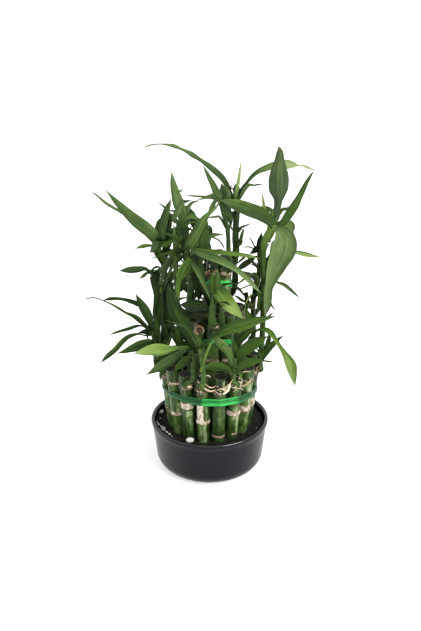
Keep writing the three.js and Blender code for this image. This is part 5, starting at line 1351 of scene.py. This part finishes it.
leafStyle = {
    "acrossFaces": 6, "alongFaces": 30, "samples": 60,
    "thickness": (0.46, 0.2), "thinning": 0.5,  # at the middle and the edge; what is left at the tip
    "belly": 0.42,  # where along it a blade faces its own way, and is widest in the fill
    "fullness": 0.9, "neck": 0.34,
    "rootWidth": 2.4, "rootOffset": 0.7, "rootShare": 0.1,
    "foldAtRoot": 0.75, "fold": (0.08, 0.3), "foldAtTip": 0.22,
    "foldOpens": (0, 0.22), "foldEases": (0.7, 1),  # shares of the length, as in the spans below
    "wave": (0.04, 0.14), "waves": (1.3, 2.8), "phase": (0, 1), "waveShift": 0.22,
    "waveStarts": (0.05, 0.3), "waveStops": (1, 0.8),
    "usualTone": (0.16, 0.42), "tipGain": 0.08, "toneChange": (0.05, 0.75),
    # sideTone: one half of each blade lighter than the other, painted shade of its fold
    "ribTone": 0.05, "ribWidth": 0.25, "sideTone": 0.1,
    # a paler, greyer cast on some leaves: waxy bloom and painted sheen
    "usualBloomAndSheen": (0, 0.1), "bloomAndSheenSaturation": 0.45, "bloomAndSheenValue": 1.12,
    "tipGrey": 0.4, "tipDries": (0.8, 1),  # tips dry to a duller green
    "underside": "#5f7838",
    "sharpAngle": 50,
}
stemStyle = {
    "sides": 12, "rings": 56, "samples": 120,
    "footRadius": 2.5, "headRadius": 2.1, "flatness": 0.94, "gap": 0.5, "bendRise": 0.6,
    "facing": (0.3, 0.9, 0.1),
    "caneSides": 7, "frontAngle": 270,  # of the solid canes that the stems stand on
    "sheathLength": 7.5,  # from leaf scar to leaf scar
    "sheathStep": 0.07, "sheathSlant": 0.22, "sheathWaver": 0.5, "sheathTone": 0.14,
    "sheathEdge": "#6d7b4a", "edgeFrom": (0.86, 0.98), "edgeMark": 0.6,
    "tone": 0.28,
}
filling = {
    "lowest": 0.55,  # where along the stem its leaves start
    "turnShare": 0.618, "turnStart": 0.3, "turnSpread": 16,  # each turns by the golden share of the span
    "rise": 20, "riseGain": 45, "riseSpread": 14, "droop": 50, "droopSpread": 40,
    "lengthSpread": 0.5, "widthSpread": 0.4, "shortening": 0.995,
    "reach": 55,  # leaves that would reach further out turn inwards
    "firstSeed": 101, "seedStep": 7,
}
# Which way the upper face of a blade looks
facings = {"up": (0, 0, 1), "front": (0, -1, 0.35), "frontUp": (0, -0.7, 0.7)}
leafGreens = [(0.0, "#0f1907"), (0.25, "#20350d"), (0.5, "#3b561b"), (0.75, "#607c31"), (1.0, "#90a85a")]


# Repeatable draws from 0 to 1, the same as the solids use
def makeDraw(seed):
    state = [seed]

    def draw():
        state[0] = state[0] * 16807 % 2147483647
        return state[0] / 2147483647
    return draw


# A smooth line through points, as in the solids: place(turn), and evenly(share) along its length
def lineThrough(points):
    points = [Vector(point) for point in points]
    last = len(points) - 1

    def place(turn):
        part = min(max(turn, 0), 1) * last
        step = min(int(part), last - 1)
        share = part - step
        p1, p2 = points[step], points[step + 1]
        p0 = points[step - 1] if step > 0 else p1 * 2 - p2
        p3 = points[step + 2] if step + 2 <= last else p2 * 2 - p1
        leave, arrive = (p2 - p0) / 2, (p3 - p1) / 2
        cubic = (p1 - p2) * 2 + leave + arrive
        square = (p2 - p1) * 3 - leave * 2 - arrive
        return ((cubic * share + square) * share + leave) * share + p1

    lengths = [0]
    divisions = 200
    for step in range(divisions):
        gap = place((step + 1) / divisions) - place(step / divisions)
        lengths.append(lengths[-1] + gap.length)

    def evenly(share):
        target = share * lengths[-1]
        step = 0
        while step < divisions - 1 and lengths[step + 1] < target:
            step += 1
        part = (target - lengths[step]) / max(lengths[step + 1] - lengths[step], 1e-9)
        return min(max((step + part) / divisions, 0), 1)

    def along(turn):
        return (place(min(turn + 1e-4, 1)) - place(max(turn - 1e-4, 0))).normalized()
    return {"place": place, "evenly": evenly, "along": along, "length": lengths[-1]}


# Samples along the line, each with its place, direction and upper face
def sampleLine(line, count, facing, widestAt):
    samples = []
    for step in range(count + 1):
        turn = line["evenly"](step / count)
        samples.append([line["place"](turn), line["along"](turn), None])

    def across(vector, along):
        return (vector - along * vector.dot(along)).normalized()
    middle = round(widestAt * count)
    samples[middle][2] = across(Vector(facing), samples[middle][1])
    for step in range(middle + 1, count + 1):
        samples[step][2] = across(samples[step - 1][2], samples[step][1])
    for step in range(middle - 1, -1, -1):
        samples[step][2] = across(samples[step + 1][2], samples[step][1])
    return samples


# Place, direction and upper face at a share of the line's length
def between(samples, share):
    part = min(max(share, 0), 1) * (len(samples) - 1)
    step = min(int(part), len(samples) - 2)
    here, after = samples[step], samples[step + 1]
    return [first.lerp(second, part - step) for first, second in zip(here, after)]


# Width of a leaf of the fill: a lance with a narrow neck
def widthShare(share, belly):
    bent = share ** (math.log(0.5) / math.log(belly))
    lance = math.sin(math.pi * bent) ** leafStyle["fullness"] if 0 < bent < 1 else 0
    return max(lance, leafStyle["neck"] * (1 - share))


# Width where a leaf's own widths are given, one for each point of its line
def widthAt(widths, turn):
    part = min(max(turn, 0), 1) * (len(widths) - 1)
    step = min(int(part), len(widths) - 2)
    share = part - step
    w1, w2 = widths[step], widths[step + 1]
    w0 = widths[max(step - 1, 0)]
    w3 = widths[min(step + 2, len(widths) - 1)]
    smooth = 0.5 * ((2 * w1) + (w2 - w0) * share + (2 * w0 - 5 * w1 + 4 * w2 - w3) * share ** 2
                    + (3 * w1 - w0 - 3 * w2 + w3) * share ** 3)
    return max(smooth, 0.25)


# Bends the slab to a blade. Its mark is the bloom and painted sheen with the dry tips, from 0 to 1, and 2
# more on the underside
def bendLeaf(stemLine, leaf, dice, number):
    turn = stemLine["evenly"](leaf["at"])
    base, stemAlong = stemLine["place"](turn), stemLine["along"](turn)
    away = Vector(leaf["path"][0]) - base
    away = (away - stemAlong * away.dot(stemAlong)).normalized()
    line = lineThrough([base + away * leafStyle["rootOffset"]] + leaf["path"])
    samples = sampleLine(line, leafStyle["samples"], facings[leaf["face"]], leafStyle["belly"])
    draws = ("fold", "wave", "waves", "phase", "usualTone", "usualBloomAndSheen")
    fold, wave, waves, phase, usual, bloom = (dice.uniform(*leafStyle[name]) for name in draws)
    bloom = leaf.get("bloom", bloom)
    toneLow, toneHigh = leaf.get("tone", (usual, usual + leafStyle["tipGain"]))
    widths = [leafStyle["rootWidth"]] + leaf.get("widths", [])
    full = leaf.get("width", max(widths)) / 2
    middleThick, edgeThick = leafStyle["thickness"]

    def bend(u, v, layer):
        place, along, face = between(samples, v)
        side = along.cross(face).normalized()
        if "width" in leaf:
            blade = full * widthShare(v, leafStyle["belly"])
            half = mix(leafStyle["rootWidth"] / 2, blade, smoothstep(0, leafStyle["rootShare"], v))
        else:
            half = widthAt(widths, line["evenly"](v)) / 2
        edge = abs(u)
        channel = mix(leafStyle["foldAtRoot"], fold, smoothstep(*leafStyle["foldOpens"], v))
        channel = mix(channel, leafStyle["foldAtTip"], smoothstep(*leafStyle["foldEases"], v))
        lift = channel * half * (edge ** 1.5 - 0.4)
        calm = smoothstep(*leafStyle["waveStarts"], v) * smoothstep(*leafStyle["waveStops"], v)
        shift = phase + (leafStyle["waveShift"] if u > 0 else 0)
        lift += wave * half * edge * edge * math.sin(2 * math.pi * (waves * v + shift)) * calm
        thick = mix(middleThick, edgeThick, edge ** 2) * mix(1, leafStyle["thinning"], v)
        half *= math.cos(math.atan(channel * 0.6))  # a folded blade is narrower from above
        place = place + side * (u * half) + face * (lift + layer * thick / 2)
        grain = (u * full, v * line["length"], number * 17.3)
        tone = mix(toneLow, toneHigh, smoothstep(*leafStyle["toneChange"], v))
        # a paler midrib, and one half of the blade lighter as painted shade of the fold
        tone += leafStyle["ribTone"] * bell(u, leafStyle["ribWidth"]) + leafStyle["sideTone"] * u
        dry = leafStyle["tipGrey"] * smoothstep(*leafStyle["tipDries"], v)
        return place, grain, tone, min(bloom + dry, 1) + (2 if layer < 0 else 0)
    return bend


# Bends the rod to a stem, a little wider at the top of each sheath
def bendStem(line, tone, girth, seed):
    samples = sampleLine(line, stemStyle["samples"], stemStyle["facing"], 0.5)
    length = line["length"]

    def bend(x, y, z):
        place, along, face = between(samples, z)
        side = along.cross(face).normalized()
        spot = math.hypot(x, y)
        slant = stemStyle["sheathSlant"] * y * spot + stemStyle["sheathWaver"] * ripple(seed, z * 4)
        share = (z * length / stemStyle["sheathLength"] + slant) % 1
        radius = mix(stemStyle["footRadius"], stemStyle["headRadius"], smoothstep(0, 0.9, z))
        radius *= girth * (1 + stemStyle["sheathStep"] * (share - 0.5))
        place = place + side * (x * radius) + face * (y * radius * stemStyle["flatness"])
        shade = tone + stemStyle["sheathTone"] * (share - 0.5)
        grain = (math.atan2(y, x) * radius, z * length, seed)
        mark = stemStyle["edgeMark"] * smoothstep(*stemStyle["edgeFrom"], share)
        return place, grain, shade if spot > 0.5 else tone, mark
    return bend


# A leaf from its row. Its depth is spread evenly from root to tip
def tracedLeaf(at, depthAtRoot, depthAtTip, toneLow, toneHigh, places, bloom=None, face="front"):
    spots = list(zip(places[::3], places[1::3]))
    path = []
    for number, (x, z) in enumerate(spots):
        path.append((x, mix(depthAtRoot, depthAtTip, number / (len(spots) - 1)), z))
    leaf = {"at": at, "tone": (toneLow, toneHigh), "face": face, "path": path,
            "widths": places[2::3] + [0]}
    if bloom is not None:
        leaf["bloom"] = bloom
    return leaf


# A stem starts beside the flat side of its solid cane and bends upwards
def stemPoints(shoot):
    tier, index, side, height = shoot["root"]
    centre = caneCentre(tier, index, height)
    corner = 360 / stemStyle["caneSides"]
    fromFront = side - stemStyle["frontAngle"]
    offCorner = fromFront - corner * math.floor(fromFront / corner + 0.5)
    reach = tiers[tier]["radius"] * math.cos(math.radians(offCorner)) + stemStyle["gap"]
    out = Vector((math.cos(math.radians(side)), math.sin(math.radians(side)), 0))
    foot = centre + out * reach
    rise = foot + out * stemStyle["footRadius"]
    rise.z += stemStyle["bendRise"]
    return [foot, rise] + [Vector(place) for place in shoot["stem"]]


# Leaves by the same rule and draws as in the solids; those to skip still take their draws
def fillLeaves(fill, line, seed):
    draw = makeDraw(seed)

    def vary(middle, spread):
        return middle + spread * (draw() - 0.5)
    leaves = []
    for index in range(fill["count"]):
        share = (index + 0.5) / fill["count"]
        at = filling["lowest"] + (1 - filling["lowest"]) * share
        turnShare = (index * filling["turnShare"] + filling["turnStart"]) % 1
        turn = math.radians(vary(fill["from"] + (fill["to"] - fill["from"]) * turnShare,
                                 filling["turnSpread"]))
        rise = math.radians(vary(filling["rise"] + filling["riseGain"] * share, filling["riseSpread"]))
        droop = math.radians(vary(filling["droop"], filling["droopSpread"]))
        reach = filling["shortening"] * fill["length"] * vary(1, filling["lengthSpread"])
        breadth = fill["width"] * vary(1, filling["widthSpread"])
        if index in fill.get("skip", ()):
            continue
        base = line["place"](line["evenly"](at))
        ahead = base.x + reach * math.cos(rise) * math.cos(turn)
        inward = -1 if abs(ahead) > filling["reach"] else 1

        def out(angle, distance):
            level = distance * math.cos(angle)
            return (base.x + inward * level * math.cos(turn), base.y + level * math.sin(turn),
                    base.z + distance * math.sin(angle))
        path = [out(rise, reach / 2), out(rise - droop / 2, reach)]
        leaves.append({"at": at, "width": breadth, "face": "up", "path": path})
    return leaves


# Leaf blade: satin and waxy, lengthwise veins about 0.8 mm apart, a duller cooler cast on some that is
# bloom and painted sheen, paler underneath
def makeLeafBlade():
    blade, tree, shader, place, grain, tone, mark = newMaterial(
        "waxyLeafBlade", {"IOR": 1.45, "Specular IOR Level": 0.13}, ["place", "grain", "tone", "mark"])
    thin = addNode(tree, "Mapping", {0: grain, "Scale": (1 / 0.8, 1 / 90, 1)})  # 0.8 mm wide
    veins = addNode(tree, "TexNoise", {"Vector": thin, "Scale": 1.0, "Detail": 1.0})
    long = addNode(tree, "Mapping", {0: grain, "Location": (5, 5, 5), "Scale": (1 / 1.9, 1 / 34, 1)})
    streaks = addNode(tree, "TexNoise", {"Vector": long, "Scale": 1.0})
    clouds = addNode(tree, "TexNoise", {"Vector": place, "Scale": 70.0})  # clouds of 14 mm
    level = tone
    for pattern, share in ((veins, 0.3), (streaks, 0.42), (clouds, 0.3)):
        level = addNode(tree, "Math", {0: pattern, 1: share, 2: level}, operation="MULTIPLY_ADD")
    level = addNode(tree, "Math", {0: level, 1: 0.51}, operation="SUBTRACT")  # the patterns' middle
    green = addNode(tree, "ValToRGB", {0: level}, stops=leafGreens)
    under = addNode(tree, "Math", {0: mark, 1: 1.2}, operation="GREATER_THAN")  # marks of 2 and more
    # the paler, cooler cast: bloom and painted sheen, and dry tips
    cool = addNode(tree, "Math", {0: under, 1: -2.0, 2: mark}, operation="MULTIPLY_ADD")
    coolShare = addNode(tree, "Math", {0: cool, 1: 0.6}, operation="MULTIPLY")
    cooled = addNode(tree, "HueSaturation",
                     {"Fac": coolShare, "Color": green, "Saturation": leafStyle["bloomAndSheenSaturation"],
                      "Value": leafStyle["bloomAndSheenValue"]})
    underShare = addNode(tree, "Math", {0: under, 1: 0.35}, operation="MULTIPLY")
    pale = addNode(tree, "Mix", {0: underShare, 6: cooled, 7: linear(leafStyle["underside"])},
                   data_type="RGBA")
    rough = addNode(tree, "Math", {0: streaks, 1: 0.2, 2: 0.32}, operation="MULTIPLY_ADD")
    bump = addNode(tree, "Bump", {"Height": veins, "Distance": 0.14 * mm, "Strength": 0.45})
    setInputs(tree, shader, {"Base Color": pale.outputs[2], "Roughness": rough, "Normal": bump})
    return blade


# Stem wrapped in leaf sheaths: dark, smooth, with a pale papery edge at each sheath
def makeStemSheath():
    sheath, tree, shader, grain, tone, mark = newMaterial(
        "leafSheathStem", {"IOR": 1.45, "Roughness": 0.4, "Specular IOR Level": 0.26},
        ["grain", "tone", "mark"])
    thin = addNode(tree, "Mapping", {0: grain, "Scale": (1 / 0.6, 1 / 22, 1)})  # 0.6 mm wide
    fibres = addNode(tree, "TexNoise", {"Vector": thin, "Scale": 1.0})
    share = addNode(tree, "Math", {0: fibres, 1: 0.3, 2: tone}, operation="MULTIPLY_ADD")
    level = addNode(tree, "Math", {0: share, 1: 0.15}, operation="SUBTRACT")
    green = addNode(tree, "ValToRGB", {0: level}, stops=leafGreens)
    edgeShare = addNode(tree, "Math", {0: mark, 1: 0.4}, operation="MULTIPLY")
    edged = addNode(tree, "Mix", {0: edgeShare, 6: green, 7: linear(stemStyle["sheathEdge"])},
                    data_type="RGBA")
    bump = addNode(tree, "Bump", {"Height": fibres, "Distance": 0.12 * mm, "Strength": 0.4})
    setInputs(tree, shader, {"Base Color": edged.outputs[2], "Normal": bump})
    return sheath


bladeSlab = makeSlab("bladeSlab", leafStyle["acrossFaces"], leafStyle["alongFaces"])
stemRod = makeRod("stemRod", stemStyle["sides"], stemStyle["rings"])
leafBlade = makeLeafBlade()
stemSheath = makeStemSheath()
seed = filling["firstSeed"]
for name, shoot in shoots.items():
    dice = random.Random(seed)
    line = lineThrough(stemPoints(shoot))
    leaves = [tracedLeaf(*row) for row in leafRows.get(name, [])]
    if "fill" in shoot:
        leaves += fillLeaves(shoot["fill"], line, seed)
    shape = newShape()
    stemBend = bendStem(line, shoot.get("tone", stemStyle["tone"]), shoot.get("girth", 1), seed)
    addCopy(shape, stemRod, stemBend, 1)
    for number, leaf in enumerate(leaves):
        addCopy(shape, bladeSlab, bendLeaf(line, leaf, dice, number + seed))
    finishShape(f"leaves_{name}", shape, [leafBlade, stemSheath], [f"shoot_{name}"],
                leafStyle["sharpAngle"])
    seed += filling["seedStep"]
print("shoots are ready")

# Torn curls of dried sheath at the front canes: width, tone, depth y, then x and z along its line
driedCurls = [
    (1.1, 0.35, -45.6, [(-8.7, 110.2), (-7, 111.4), (-4, 110.9), (-1, 111.1), (0.8, 109.7)]),
    (1.5, 0.25, -46, [(-10.3, 106.3), (-8.2, 103), (-5.1, 100.1), (-2.2, 97.6), (1.5, 96.3), (5, 97.6)]),
    (1.1, 0.15, -46, [(-4.3, 104), (-1.3, 101.1), (2.1, 99.7), (5.4, 101.5)]),
    (1, 0.1, -46.3, [(-9.1, 97.9), (-6.8, 102.2), (-6.5, 107.5), (-4.4, 110.5)]),
    (1.3, 0.2, -44.6, [(6.1, 95.9), (9, 97.8), (12.8, 98.4), (15.5, 100.7), (18.1, 103.6), (20.1, 107.1)]),
    (2.3, 0.4, -44, [(11.6, 92.7), (14.6, 94.6), (16.8, 98.1), (18.1, 102)]),
    (0.9, 0.3, -38.4, [(21.3, 94.2), (23, 98.5), (25.1, 101.8), (27.2, 100.5), (26.5, 96.7)]),
    (0.9, 0.2, -38, [(21, 91), (23.6, 94), (27.1, 95), (29.7, 93)]),
    (0.9, 0.25, -38.6, [(20, 105.4), (22.6, 103.1), (23.5, 98.6), (22.2, 94.7)]),
    (2, 0.2, -27, [(29.2, 91.2), (32.3, 92.8), (35.3, 95.6), (37.5, 99.5)]),
    (0.9, 0.3, -27, [(28.3, 103.1), (30, 105.4), (33, 105.8), (36.2, 105.4)]),
    (1, 0.25, -29, [(-35, 95.4), (-31, 94.2), (-27.1, 94.8), (-23.2, 96)]),
    (0.8, -0.1, -29, [(-32.6, 100.2), (-30, 97.6), (-28.3, 94.2)]),
    (0.9, -0.15, -39.5, [(-20.4, 105.5), (-18.7, 101.6), (-16.1, 99.3), (-13, 100.6), (-10.9, 104.9)]),
    (0.9, 0.2, -38.6, [(-16.4, 111.4), (-14.7, 112.9), (-12.6, 112.4)]),
    (0.8, -0.2, -22, [(-41.2, 91.6), (-38.2, 90.2), (-35, 88.6)]),
    (0.8, 0.1, -14, [(40.1, 95.6), (42.2, 98.6), (42.3, 102.6), (44.8, 104.6)]),
    (0.8, 0, -14, [(45, 96.6), (44, 100.2), (46.2, 103.6), (47.9, 107)]),
]
curlStyle = {
    "acrossFaces": 4, "alongFaces": 12, "samples": 24,
    "thickness": 0.35, "hollow": 0.35, "torn": 0.3, "taper": (0.1, 0.9), "fullness": 0.6, "sideTone": 0.1,
}


def bendCurl(width, tone, depth, places, seed):
    line = lineThrough([(x, depth, z) for x, z in places])
    samples = sampleLine(line, curlStyle["samples"], facings["front"], 0.5)

    def bend(x, y, z):
        place, along, face = between(samples, y)
        side = along.cross(face).normalized()
        half = width / 2 * math.sin(math.pi * mix(*curlStyle["taper"], y)) ** curlStyle["fullness"]
        half *= 1 + curlStyle["torn"] * ripple(5 * y, 2 * x, seed)
        lift = curlStyle["hollow"] * width * x * x + z * curlStyle["thickness"] / 2
        place = place + side * (x * half) + face * lift
        return place, (x * width + seed * 5, y * 9, seed), tone + curlStyle["sideTone"] * x, 0
    return bend


shape = newShape()
curlSlab = makeSlab("curlSlab", curlStyle["acrossFaces"], curlStyle["alongFaces"])
for number, curl in enumerate(driedCurls):
    addCopy(shape, curlSlab, bendCurl(*curl, number))
finishShape("dried_curls", shape, [drySheath])
print("curls are ready")
